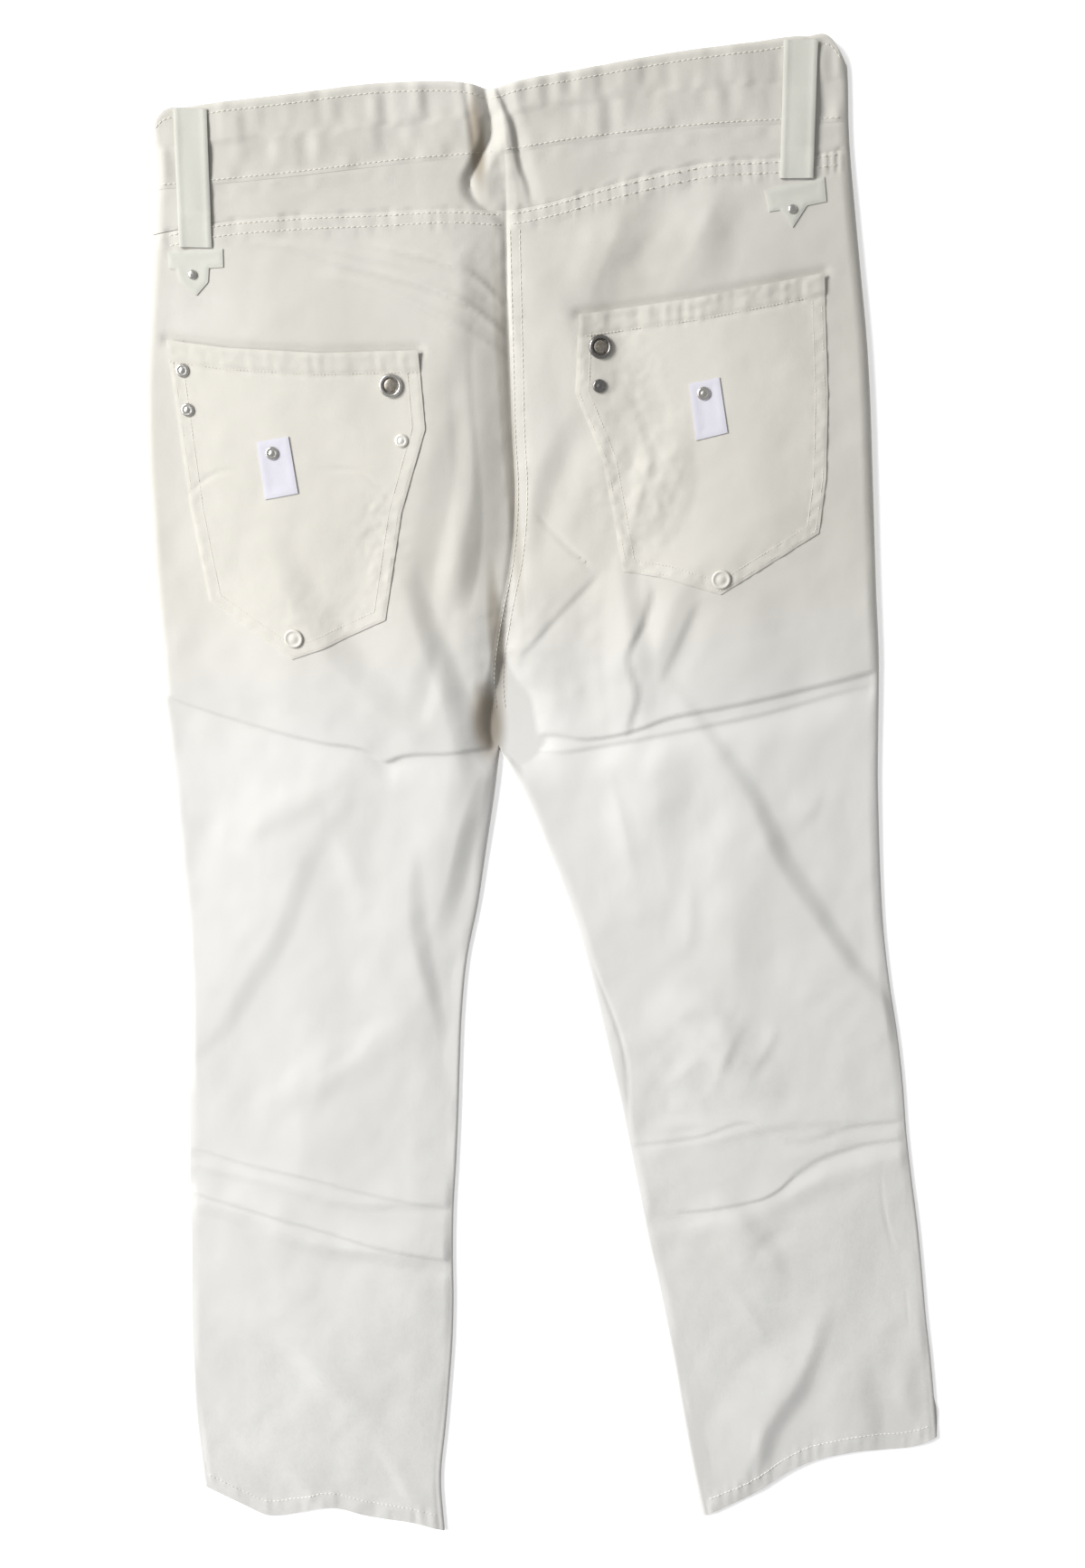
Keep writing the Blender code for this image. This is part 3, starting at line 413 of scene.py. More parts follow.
CHANNELS = (
    Channel("centre back", "y", 0.3, table(Bed,
        (84, 4, 0, 12, 60), (100, 0, -1.4, 14, 64), (120, -5, -3.4, 17, 70), (150, -4, -4.2, 20, 90),
        (190, 1, -3.9, 22, 100), (240, 10, -3.6, 25, 106), (300, 15.5, -3.8, 28, 110),
        (394, 19, -3.9, 30, 110), (430, 21, -3.4, 28, 100), (455, 22, -1.9, 24, 60), (480, 20, -1, 22, 30),
        (560, 18, -1, 22, 30),
    )),
    Channel("right of centre", "y", 0.6, table(Bed,
        (96, 60, 0, 30, 40), (130, 66, -2.4, 50, 60), (170, 64, -3, 52, 70), (222, 70, -3.4, 56, 90),
        (262, 84, -4, 66, 110), (300, 92, -4.4, 72, 120), (357, 92, -4.2, 72, 120), (394, 80, -2.8, 60, 100),
        (430, 60, 0, 30, 50),
    )),
    Channel("crotch hollow", "y", 0.3, table(Bed,
        (104, -6, 0, 8, 40), (112, -5, -4, 14, 60), (126, -4.5, -5.6, 19, 70), (140, -3.5, -5.6, 20, 70),
        (158, -3, -3.6, 13, 60), (180, -1, 0, 8, 40),
    )),
    Channel("centre slit", "y", 0.3, table(Bed,
        (104, -6, 0, 6, 14), (114, -6, -1.56, 10, 14), (130, -5.5, -2.4, 16, 14), (150, -5, -2.4, 16, 14),
        (166, -4, -1.8, 10, 14), (185, -1, -1.2, 7, 14), (207, 3, -0.9, 5.5, 14), (259, 12, -0.96, 5, 14),
        (340, 15.5, -0.84, 5, 14), (394, 18, -1.4, 5, 3), (430, 20, -1.2, 5, 3), (448, 21, -0.5, 5, 3),
    )),
    Channel("left of centre", "y", 0.6, table(Bed,
        (206, -22, 0, 14, 30), (227, -15, -2.2, 16, 44), (276, -7, -3.2, 20, 56), (300, -7, -3.2, 20, 60),
        (357, -7, -2.6, 18, 60), (394, -2, -1, 16, 50), (424, 6, 0, 14, 30),
    )),
    Channel("waist slit", "y", 0.3, table(Bed,
        (440, 22, 0, 7, 11), (449, 16, -1.6, 7, 11), (457, 5, -2.8, 8, 11), (469, 1, -3.6, 8, 11),
        (482, 8, -4, 8, 11), (495, 15.5, -4, 8, 11), (508, 15.5, -3.8, 8, 9), (521, 14, -3.4, 8, 9),
        (545, 11, -3, 8, 9),
    )),
    Channel("waist side slit", "y", 0.5, even_beds(4, 3,
        (488, 5.5, 0), (500, 4.5, -0.8), (524, 3, -1), (545, 2, -1),
    )),
    Channel("waist pinch", "y", 0.4, even_beds(4, 9,
        (448, 38, 0), (466, 36, -1.4), (475, 33, -1.8), (501, 29.5, -1.8), (519, 22, -1.6), (540, 18, -1.6),
    )),
    Channel("pinch ridge", "y", 0.8, table(Bed,
        (440, 32, 0, 9, 8), (470, 27, 0.7, 8, 8), (500, 24, 0.9, 7, 8), (540, 19, 0.9, 7, 8),
    )),
    Channel("left pocket bag edge", "x", 0.5, even_beds(2.5, 2.5,
        (-196, 294, 0), (-190, 299, -0.4), (-174, 308, -0.4), (-158, 308.5, 0),
    )),
    Channel("left pocket bag edge, right half", "x", 0.5, even_beds(2.5, 2.5,
        (-112, 306, 0), (-98, 305, -0.4), (-84, 303, -0.5), (-70, 291, -0.5), (-58, 285, 0),
    )),
    Channel("right hip deep fold", "y", 0.3, table(Bed,
        (112, 80, 0, 5, 14), (121, 81, -1.19, 5, 16), (144, 87, -1.53, 5, 18), (172, 83, -1.53, 5, 18),
        (194, 94, -1.53, 5, 16), (212, 99, -1.02, 5, 14), (224, 97, 0, 5, 14),
    )),
    Channel("right seat facet", "x", 0.3, even_beds(16, 6,
        (8, 172, 0), (15, 178, -0.6), (40, 202, -0.8), (61, 221, -0.6), (68, 228, 0),
    )),
    Channel("right seat drag", "y", 0.4, even_beds(6, 18,
        (146, 102, 0), (156, 106, -0.6), (180, 118, -0.84), (198, 127, -0.6), (207, 131, 0),
    )),
    Channel("left thigh crease", "x", 0.9, even_beds(22, 3.2,
        (-245, 172, -0.9), (-214, 156, -1.2), (-182, 143, -1.3), (-152, 132, -1.3), (-126, 124, -1.4),
        (-96, 115.5, -1.5), (-86, 108, -1.7), (-76, 111, -1.5), (-45, 111.5, -1.2), (-8, 112, -1.2),
    )),
    Channel("left thigh lip", "x", 0.9, table(Bed,
        (-245, 161, 0.1, 20, 9), (-150, 122, 0.15, 18, 9), (-97, 105, 0.25, 20, 9), (-86, 98, 0.4, 22, 8),
        (-75, 101, 0.25, 20, 9), (-8, 102, 0.2, 16, 9),
    )),
    Channel("right thigh crease", "x", 0.9, even_beds(30, 3.2,
        (-4, 113, -1.4), (28, 118, -1.4), (47, 114, -1.4), (86, 119, -1.5), (102, 124, -1.5),
        (145, 130, -1.4), (189, 136.5, -1.4), (252, 148, -1.3),
    )),
    Channel("right thigh second crease", "x", 0.9, even_beds(24, 3,
        (0, 107, -0.6), (41, 106, -0.8), (80, 111, -0.9), (125, 117, -0.8), (179, 125, -0.8),
        (222, 134, -0.5), (246, 138, -0.2),
    )),
    Channel("right thigh lip", "x", 0.9, table(Bed,
        (-4, 98, 0.15, 16, 8), (100, 106, 0.2, 18, 8), (250, 130, 0.15, 18, 8),
    )),
    Channel("left upper knee line", "x", 0.9, even_beds(18, 2.8,
        (-262, -176, -0.8), (-216, -195, -1), (-176, -208, -1), (-140, -222, -0.9), (-62, -245, -0.5),
    )),
    Channel("left lower knee line", "x", 0.9, even_beds(22, 3,
        (-272, -211, -1), (-221, -232, -1.4), (-181, -249, -1.4), (-141, -266, -1.4), (-70, -289, -1),
    )),
    Channel("right upper knee line", "x", 0.9, even_beds(12, 2.8,
        (60, -198, -0.4), (111, -194, -0.6), (155, -186, -0.5), (172, -199, -0.5), (227, -193, -0.5),
        (268, -190, -0.4),
    )),
    Channel("right lower knee line", "x", 0.9, even_beds(16, 2.8,
        (66, -258, -0.5), (127, -254, -0.81), (171, -242, -0.93), (186, -228, -0.93), (230, -210, -0.93),
        (272, -206, -0.62),
    )),
    Channel("left upper drag", "x", 0.7, even_beds(5, 3.2,
        (-128, 447, 0), (-96, 434, 1.13), (-64, 423, 1.45), (-30, 411, 1.85), (0, 394, 1.85), (17, 378, 0.6),
    )),
    Channel("left middle drag", "x", 0.7, even_beds(4.5, 3,
        (-72, 441, 0), (-45, 433, 1.19), (-20, 425, 1.66), (0, 414, 1.66), (17, 396, 0.6),
    )),
    Channel("left lower drag", "x", 0.7, even_beds(4.5, 3,
        (-104, 424, 0), (-70, 416, 0.84), (-40, 402, 1.32), (-8, 384, 1.2), (16, 366, 0.36),
    )),
    Channel("left top drag", "x", 0.7, even_beds(5, 3.2,
        (-150, 446, 0), (-116, 442, 0.6), (-70, 432, 0.72), (-30, 421, 0),
    )),
    Channel("right seat line", "x", 0.2, even_beds(3, 2.5,
        (26, 268, 0), (32, 261, -1), (58, 232, -1), (64, 225, 0),
    )),
)

CRUMPLES = table(
    Crumple,
    ("broad", 90, 55, 60, 0.8, 3), ("middle", 46, 24, 125, 0.45, 11), ("steep", 30, 15, 70, 0.22, 17),
    ("small", 16, 10, 40, 0.11, 29), ("fine", 7, 5, 100, 0.04, 47),
)

DAPPLES = table(
    Dapple,
    ("right pocket wrinkles", 92, 300, 40, 95, 7, 0.3, 51),
    ("left pocket puckers", -72, 258, 22, 44, 5, 0.28, 52),
    ("left pocket foot", -104, 214, 60, 22, 8, 0.2, 53), ("left of centre", 2, 415, 26, 46, 9, 0.25, 54),
    ("right knee", 112, -128, 60, 76, 18, 0.32, 55), ("right thigh", 100, 40, 80, 90, 26, 0.36, 56),
    ("left thigh", -120, 40, 90, 90, 30, 0.36, 57), ("left shin", -180, -380, 90, 120, 34, 0.36, 58),
    ("right shin", 180, -340, 90, 130, 26, 0.36, 59), ("right hip", 110, 430, 70, 40, 16, 0.34, 60),
    ("crotch", 20, 170, 70, 60, 15, 0.4, 61),
)

SEAMS = table(Seam, ("waistband", 0.05, 0.1, 5), ("yoke", 0.28, 0.25, -11), ("centre", 0.16, 0.1, 8))
PUCKERS = table(
    Pucker,
    ("waistband", "waistband", 0, 26, 16, 0.75, 5), ("waistband top", "waistband", 20, 48, 13, 0.8, 15),
    ("below the waistband", "waistband", -10, 1, 14, 0.3, 6), ("yoke", "yoke", -15, 4, 9, 0.4, 7),
    ("centre seam", "centre", -9, 11, 11, 0.28, 8), ("left hem", "left hem", 0, 19, 9, 0.42, 9),
    ("right hem", "right hem", 0, 19, 8, 0.46, 10),
)
HEMS = {"left": HEM_LEFT, "right": HEM_RIGHT}
EDGES = {"waistband": WAISTBAND_SEAM, "yoke": YOKE_SEAM, "left hem": HEM_LEFT, "right hem": HEM_RIGHT}
HEM_DEPTH = 16.0
HEM_EXTRA = 0.25
WAIST_ROLL = 3.5
WAIST_DROP = 1.8
PUCKER_LENGTH = 17.0
PUCKER_START = 5.0
POCKET_PUCKERS = {"left": 0.25, "right": 0.5}

# The needle's ticks along the yoke seam: the band that they are in, and their height and reach on
# each side. A fade is how far a band takes to set in or to end.
TICK_PITCH = 5.2
TICK_SWAY = 0.4
TICK_SWAY_LENGTH = 9.0
TICK_SEED = 21
TICK_BAND, TICK_BAND_FADES = (-14.0, 1.0), (4.0, 3.0)
RIGHT_TICKS, RIGHT_TICKS_FROM, RIGHT_TICKS_FADE = 0.30, 44.0, 20.0
LEFT_TICKS, LEFT_TICKS_SPAN, LEFT_TICKS_FADES = 0.16, (-90.0, -4.0), (30.0, 8.0)


class PocketOutline(NamedTuple):
    """Four chains round a patch: along the top and the foot from left to right, and down each side."""

    top: tuple[Point, ...]
    left: tuple[Point, ...]
    right: tuple[Point, ...]
    foot: tuple[Point, ...]


Chain = tuple[tuple[float, float], ...]


def patch_outline(top: Chain, foot: Chain, left: Chain = (), right: Chain = ()) -> PocketOutline:
    """An outline from plain points.

    Args:
        top: the points along the top.
        foot: the points along the foot.
        left: the points down the left side, between top and foot.
        right: the points down the right side, between top and foot.

    Returns:
        The outline.
    """
    chains = (top, (top[0], *left, foot[0]), (top[-1], *right, foot[-1]), foot)
    return PocketOutline(*(table(Point, *chain) for chain in chains))


POCKETS = {
    "left": patch_outline(
        ((-195, 391), (-160, 384), (-100, 376.5), (-39, 374)),
        ((-190, 226), (-140, 185), (-118, 191), (-76, 207)),
        ((-194, 286),),
        ((-39, 326), (-59, 275)),
    ),
    "right": patch_outline(
        ((62, 388), (136, 393), (214, 402)),
        ((81, 227), (108, 221), (143, 208), (208, 243)),
        ((57, 341), (72, 298)),
        ((215, 330), (213, 278)),
    ),
}
LABELS = {
    "left": patch_outline(((-146, 325.5), (-125.5, 327.5)), ((-145, 289.5), (-123.5, 292))),
    "right": patch_outline(((128, 342), (147, 344.5)), ((131, 307), (151, 310.5))),
}
TABS = {
    "left": patch_outline(
        ((-187, 443), (-153, 441.5)),
        ((-187.5, 432.5), (-183.5, 431.5), (-182, 423.5), (-173, 415.5), (-164.5, 423), (-163, 431),
         (-154, 431)),
    ),
    "right": patch_outline(
        ((178.5, 452), (215, 457)),
        ((181, 439.5), (187.5, 440), (195, 429.5), (204, 441.5), (216, 443)),
    ),
}


class Strip(NamedTuple):
    """A belt loop: the middle of its top and foot, and how far it stands off the waistband."""

    top_x: float
    top_y: float
    foot_x: float
    foot_y: float
    stand_off: float


LOOPS = {
    "left": Strip(-162.5, 521.5, -169.5, 443.6, 0.5),
    "right": Strip(202.5, 533.5, 198.0, 457.4, 0.5),
}
LOOP_WIDTH = 20.0

# Height of each layer's outer face over the panel's, in millimetres
ON_PANEL = POCKET_WALL + LAYER_GAP
ON_POCKET = ON_PANEL + LAYER_GAP
ON_LABEL = ON_POCKET + LABEL_WALL + LAYER_GAP
TRIMS = table(
    Trim,
    ("ring_stud_left", "ring", -58, 354, ON_POCKET), ("ring_cap_left", "cap", -58, 354, ON_POCKET),
    ("pocket_rivet_left_a", "rivet", -187.5, 372, ON_POCKET),
    ("pocket_rivet_left_b", "rivet", -187.5, 348, ON_POCKET),
    ("pocket_rivet_left_c", "pale", -54.5, 320, ON_POCKET),
    ("label_rivet_left", "rivet", -137, 318, ON_LABEL), ("point_stud_left", "point", -137, 199, ON_POCKET),
    ("ring_stud_right", "dark ring", 74, 368, ON_POCKET), ("ring_cap_right", "cap", 74, 368, ON_POCKET),
    ("pocket_rivet_right", "dark rivet", 72, 344.5, ON_POCKET),
    ("label_rivet_right", "rivet", 137, 335.5, ON_LABEL),
    ("point_stud_right", "point", 143.5, 218, ON_POCKET), ("tab_stud_left", "small", -173.5, 428, ON_POCKET),
    ("tab_stud_right", "small", 195, 440, ON_POCKET),
)


class Stitching(Enum):
    """The threads that the seams are sewn with: stitch length, pitch and thread radius."""

    TOPSTITCH = (2.7, 3.3, 0.32)
    FINE = (1.7, 2.2, 0.22)


# Small tools


def eased(t: Array) -> Array:
    """Smooth step from 0 to 1."""
    t = np.clip(t, 0.0, 1.0)
    return t * t * (3 - 2 * t)


def rounded(distance: Array, radius: float) -> Array:
    """A quarter round: 0 at the edge, 1 from one radius in."""
    t = np.clip(distance / radius, 0.0, 1.0)
    return np.sqrt(1 - (1 - t) ** 2)


def bell(t: Array) -> Array:
    """A bell curve of height 1."""
    return np.exp(-(t**2))


def smooth_curve(knots: Sequence[float], values: Sequence[float], where: Array) -> Array:
    """A smooth curve through knots.

    Args:
        knots: places of the knots, in rising order.
        values: the curve's value at each knot.
        where: places to read.

    Returns:
        The curve's value at each place.
    """
    at_knots, at_values = np.asarray(knots, float), np.asarray(values, float)
    slopes = np.gradient(at_values, at_knots)
    at = np.clip(np.asarray(where, float), at_knots[0], at_knots[-1])
    index = np.clip(np.searchsorted(at_knots, at) - 1, 0, len(at_knots) - 2)
    span = at_knots[index + 1] - at_knots[index]
    t = (at - at_knots[index]) / span
    start = (1 + 2 * t) * (1 - t) ** 2 * at_values[index] + t * (1 - t) ** 2 * span * slopes[index]
    end = t * t * (3 - 2 * t) * at_values[index + 1] + t * t * (t - 1) * span * slopes[index + 1]
    return start + end


def edge_curve(points: Sequence[Point], x: Array) -> Array:
    """Y of an edge that runs across the garment, at x."""
    return smooth_curve(*zip(*sorted(points)), x)


def section_edge(column: str, y: Array) -> Array:
    """X of one column of the section table at y. The inner edges turn a corner at the crotch."""
    knots = sorted((row.y, getattr(row, column)) for row in SECTIONS)
    if column.endswith("out"):
        return smooth_curve(*zip(*knots), y)
    leg = smooth_curve(*zip(*(knot for knot in knots if knot[0] <= CROTCH_Y)), y)
    seat = smooth_curve(*zip(*(knot for knot in knots if knot[0] >= CROTCH_Y)), y)
    return np.where(np.asarray(y) < CROTCH_Y, leg, seat)


def side_edges(side: str, y_out: Array, y_in: Array, outer: float, inner: float) -> tuple[Array, Array]:
    """X of a side's outer edge at y_out and of its inner one at y_in, each moved into the cloth."""
    sign = SIGNS[side]
    return section_edge(f"{side}_out", y_out) - sign * outer, section_edge(f"{side}_in", y_in) + sign * inner


def chain_distance(x: Array, y: Array, chain: Array) -> Array:
    """Distance from each point to a chain of points."""
    nearest = np.full(np.shape(x), np.inf)
    for a, b in zip(chain[:-1], chain[1:]):
        run = b - a
        t = np.clip(((x - a[0]) * run[0] + (y - a[1]) * run[1]) / (run @ run), 0.0, 1.0)
        nearest = np.minimum(nearest, np.hypot(x - a[0] - t * run[0], y - a[1] - t * run[1]))
    return nearest


def lengths_along(points: Array) -> Array:
    """How far along a chain each of its points is."""
    return np.concatenate([[0.0], np.cumsum(np.hypot(*np.diff(points, axis=0).T))])


def points_along(points: Array, along: Array, at: Array) -> Array:
    """Points of a chain at these places along it."""
    return np.column_stack([np.interp(at, along, part) for part in points.T])


def walked(chain: Sequence[Point], share: Array) -> Array:
    """Points at these shares of a chain's length."""
    points = np.asarray(chain, float)
    along = lengths_along(points)
    return points_along(points, along, share * along[-1])


def crowded_steps(count: int, crowding: float = 0.55) -> Array:
    """Shares from 0 to 1, somewhat closer together at both ends."""
    even = np.arange(count + 1) / count
    return even + crowding * (0.5 - 0.5 * np.cos(np.pi * even) - even)


def wandered(waves: Sequence[Wander], x: Array, y: Array) -> Array:
    """How far slow waves move each point."""
    return sum(wave.reach * np.sin(wave.per_x * x + wave.per_y * y + wave.start) for wave in waves)


class Noise:
    """Smooth seeded noise over the plane, from -1 to 1, that repeats after its table's size."""

    SIZE = 97

    def __init__(self, seed: int) -> None:
        """Draws the table of the noise."""
        self.table = np.random.default_rng(seed).uniform(-1.0, 1.0, (self.SIZE, self.SIZE))

    def at(self, x: Array, y: Array) -> Array:
        """The noise at points in cells."""
        i, j = np.floor(x), np.floor(y)
        u, v = eased(x - i), eased(y - j)
        i, j = i.astype(int) % self.SIZE, j.astype(int) % self.SIZE
        k, m = (i + 1) % self.SIZE, (j + 1) % self.SIZE
        low = self.table[i, j] * (1 - u) + self.table[k, j] * u
        high = self.table[i, m] * (1 - u) + self.table[k, m] * u
        return low * (1 - v) + high * v


@dataclass
class Drape:
    """How high the upper layer's outer face stands over the floor, in millimetres."""

    folds: tuple[Fold, ...] = FOLDS + SMALL_FOLDS
    channels: tuple[Channel, ...] = CHANNELS
    crumples: tuple[Crumple, ...] = CRUMPLES
    dapples: tuple[Dapple, ...] = DAPPLES
    puckers: tuple[Pucker, ...] = PUCKERS
    seams: tuple[Seam, ...] = SEAMS
    seam_half: float = 1.5
    pucker_fade: float = 4.0
    dapple_fade: float = 0.5
    side_chains: list[Array] = field(default_factory=list)

    def __post_init__(self) -> None:
        """Walks the side edges once."""
        leg_ys = np.linspace(SECTIONS[-1].y, CROTCH_Y, 60)
        all_ys = np.linspace(SECTIONS[-1].y, SECTIONS[0].y, 90)
        columns = (("left_out", all_ys), ("left_in", leg_ys), ("right_in", leg_ys), ("right_out", all_ys))
        left, left_in, right_in, right = (
            np.column_stack([section_edge(column, ys), ys]) for column, ys in columns
        )
        self.side_chains = [left, np.concatenate([left_in, right_in[-2::-1]]), right]

    def fold_height(self, fold: Fold, x: Array, y: Array) -> Array:
        """The height that one fold adds. It narrows and dies away towards its ends."""
        run_x, run_y = fold.x1 - fold.x0, fold.y1 - fold.y0
        length = math.hypot(run_x, run_y)
        along = ((x - fold.x0) * run_x + (y - fold.y0) * run_y) / length**2
        across = ((y - fold.y0) * run_x - (x - fold.x0) * run_y) / length
        across = across - 4 * fold.bow * along * (1 - along)
        swell = np.sin(np.pi * np.clip(along, 0.0, 1.0))
        width = np.where(across > 0, fold.left_width, fold.right_width)
        reach = width * (FOLD_END_WIDTH + (1 - FOLD_END_WIDTH) * swell)
        share = np.clip(np.abs(across) / reach, 0.0, 1.0)
        return fold.height * (1 - share) ** 2 * (1 + 2 * fold.soft * share) * swell**FOLD_END_FADE

    def channel_height(self, channel: Channel, x: Array, y: Array) -> Array:
        """The height that one channel adds."""
        along, across = (x, y) if channel.axis == "x" else (y, x)
        knots = [bed.along for bed in channel.beds]
        middle, height, before, after = (
            smooth_curve(knots, column, along) for column in list(zip(*channel.beds))[1:]
        )
        away = across - middle
        share = np.clip(np.where(away < 0, -away / before, away / after), 0.0, 1.0)
        start, stop = along - knots[0], knots[-1] - along
        fade = eased(start / CHANNEL_FADE + 1.0) * eased(stop / CHANNEL_FADE + 1.0)
        return fade * height * (1 - share) ** 2 * (1 + 2 * channel.soft * share)

    def crumple_height(self, crumple: Crumple, x: Array, y: Array) -> Array:
        """The unevenness that one crumple adds."""
        turn = math.radians(crumple.turn)
        along = (x * math.cos(turn) + y * math.sin(turn)) / crumple.length
        across = (y * math.cos(turn) - x * math.sin(turn)) / crumple.width
        return crumple.height * Noise(crumple.seed).at(along, across)

    def dapple_height(self, dapple: Dapple, x: Array, y: Array) -> Array:
        """The small unevenness that one dapple adds round its middle."""
        away = np.hypot((x - dapple.x) / dapple.half_x, (y - dapple.y) / dapple.half_y)
        wave = Noise(dapple.seed)
        u, v = x / dapple.cell, y / dapple.cell
        small = wave.at(u, v) + 0.5 * wave.at(2 * v, 2 * u)
        return dapple.height * small * eased((1.0 - away) / self.dapple_fade)

    def seam_distance(self, name: str, x: Array, y: Array) -> tuple[Array, Array]:
        """Where points lie by a seam.

        Args:
            name: the seam's name.
            x: x of the points.
            y: y of the points.

        Returns:
            The signed distance from the seam, and the distance along it.
        """
        if name == "centre":
            return np.where(y > CROTCH_Y, x - section_edge("left_in", y), np.inf), y
        away = y - edge_curve(EDGES[name], x)
        if name.endswith("hem"):
            away = np.where((x < 0) == name.startswith("left"), away, np.inf)
        return away, x

    def seam_relief(self, x: Array, y: Array) -> Array:
        """Grooves at the seams, the doubled cloth beside them, and the puckers that sewing draws."""
        relief = np.zeros_like(x)
        for seam in self.seams:
            away, _ = self.seam_distance(seam.name, x, y)
            turned = away * math.copysign(1.0, seam.lap_width)
            lapped = eased(turned / self.seam_half) * eased((abs(seam.lap_width) - turned) / self.seam_half)
            relief += seam.lap * lapped - seam.groove * bell(away / self.seam_half)
        for pucker in self.puckers:
            away, along = self.seam_distance(pucker.seam, x, y)
            start, stop = away - pucker.start, pucker.stop - away
            fade = eased(start / self.pucker_fade) * eased(stop / self.pucker_fade)
            near = np.where(np.isfinite(away), away, 0.0)
            wave = Noise(pucker.seed).at(2 * along / pucker.pitch, near / PUCKER_LENGTH + PUCKER_START)
            relief += pucker.height * fade * wave
        relief += self.yoke_ticks(x, y)
        for name in ("left hem", "right hem"):
            away, _ = self.seam_distance(name, x, y)
            relief += HEM_EXTRA * eased((HEM_DEPTH - away) / self.seam_half)
        return relief

    def yoke_ticks(self, x: Array, y: Array) -> Array:
        """The small dents of the needle along the yoke seam."""
        away, along = self.seam_distance("yoke", x, y)
        (low, high), (rise, fall) = TICK_BAND, TICK_BAND_FADES
        band = eased((away - low) / rise) * eased((high - away) / fall)
        sway = TICK_SWAY * Noise(TICK_SEED).at(along / TICK_SWAY_LENGTH, along * 0.0)
        (start, stop), (rise, fall) = LEFT_TICKS_SPAN, LEFT_TICKS_FADES
        strength = RIGHT_TICKS * eased((along - RIGHT_TICKS_FROM) / RIGHT_TICKS_FADE)
        strength += LEFT_TICKS * eased((stop - along) / fall) * eased((along - start) / rise)
        return strength * band * np.sin(2 * np.pi * (along / TICK_PITCH + sway))

    def height(self, x: Array, y: Array) -> Array:
        """Height over the floor, with all folds, seams and puckers."""
        x, y = np.asarray(x, float), np.asarray(y, float)
        left, inner, right = (chain_distance(x, y, chain) for chain in self.side_chains)
        outer = np.minimum(left, right)
        distance = np.minimum(outer, inner)
        lift = smooth_curve(*zip(*LIFTS), y)
        fold_x, fold_y = x + wandered(WANDER_X, x, y), y + wandered(WANDER_Y, x, y)
        relief = sum(self.fold_height(fold, fold_x, fold_y) for fold in self.folds)
        relief += sum(self.crumple_height(crumple, x, y) for crumple in self.crumples)
        relief += sum(self.dapple_height(dapple, x, y) for dapple in self.dapples)
        relief += self.seam_relief(x, y)
        relief += sum(self.channel_height(channel, x, y) for channel in self.channels)
        to_right = eased((x - CROTCH_X) / CROTCH_BLEND + 0.5)
        inner_reach = INNER_REACH + (RIGHT_INNER_REACH - INNER_REACH) * to_right
        soft_edge = np.minimum(eased(outer / SIDE_REACH), eased(inner / inner_reach))
        edge = SIDE_SHARE * rounded(distance, SIDE_ROUND) + (1 - SIDE_SHARE) * soft_edge
        raised = lift * edge + relief * eased(distance / SIDE_ROUND)
        lowest = (LEAST_TOP - EDGE_Z) * rounded(distance, 2 * BACK_WALL)
        return EDGE_Z + np.maximum(raised, lowest)

    def points(self, x: Array, y: Array, extra: Array | float = 0.0) -> Array:
        """Points on the field, raised by extra."""
        return np.stack([x, y, self.height(x, y) + extra], axis=-1)

    def frame_at(self, x: float, y: float, radius: float) -> tuple[Array, Array]:
        """The seat of a round foot.

        Args:
            x: x of the foot's middle.
            y: y of the foot's middle.
            radius: the foot's radius.

        Returns:
            The point that the foot's middle stands on and the unit normal of its seat, so that the
            foot just clears the cloth all over.
        """
        angles = np.linspace(0.0, 2 * np.pi, 16, endpoint=False)
        reaches = (radius, radius * 0.5)
        circles = [(x + reach * np.cos(angles), y + reach * np.sin(angles)) for reach in reaches]
        spots = self.points(*np.concatenate([[[x], [y]], *circles], axis=1))
        middle = spots.mean(axis=0)
        normal = np.linalg.svd(spots - middle)[2][2]
        normal = normal if normal[2] > 0 else -normal
        proud = float(((spots - middle) @ normal).max())
        level = middle[2] - ((x - middle[0]) * normal[0] + (y - middle[1]) * normal[1]) / normal[2]
        return np.array([x, y, level]) + proud * normal, normal


# Shader node groups


def join_nodes(tree: Tree, *links: tuple[Node, str | int, Node, str | int]) -> None:
    """Links nodes. Each link is a node, its output, the next node and that one's input."""
    for start, output, end, entry in links:
        tree.links.new(start.outputs[output], end.inputs[entry])


def set_inputs(node: Node, values: dict[str | int, object]) -> None:
    """Sets a node's input values by socket name or place."""
    for name, value in values.items():
        node.inputs[name].default_value = value


def add_node(tree: Tree, kind: str, values: dict[str | int, object] | None = None, **options: object) -> Node:
    """Adds a shader node to a tree.

    Args:
        tree: the tree.
        kind: the node's type, without the words that every shader node's starts with.
        values: input values by socket name or place.
        options: the node's own settings.

    Returns:
        The node.
    """
    node = tree.nodes.new(f"ShaderNode{kind}")
    for name, value in options.items():
        setattr(node, name, value)
    set_inputs(node, values or {})
    return node


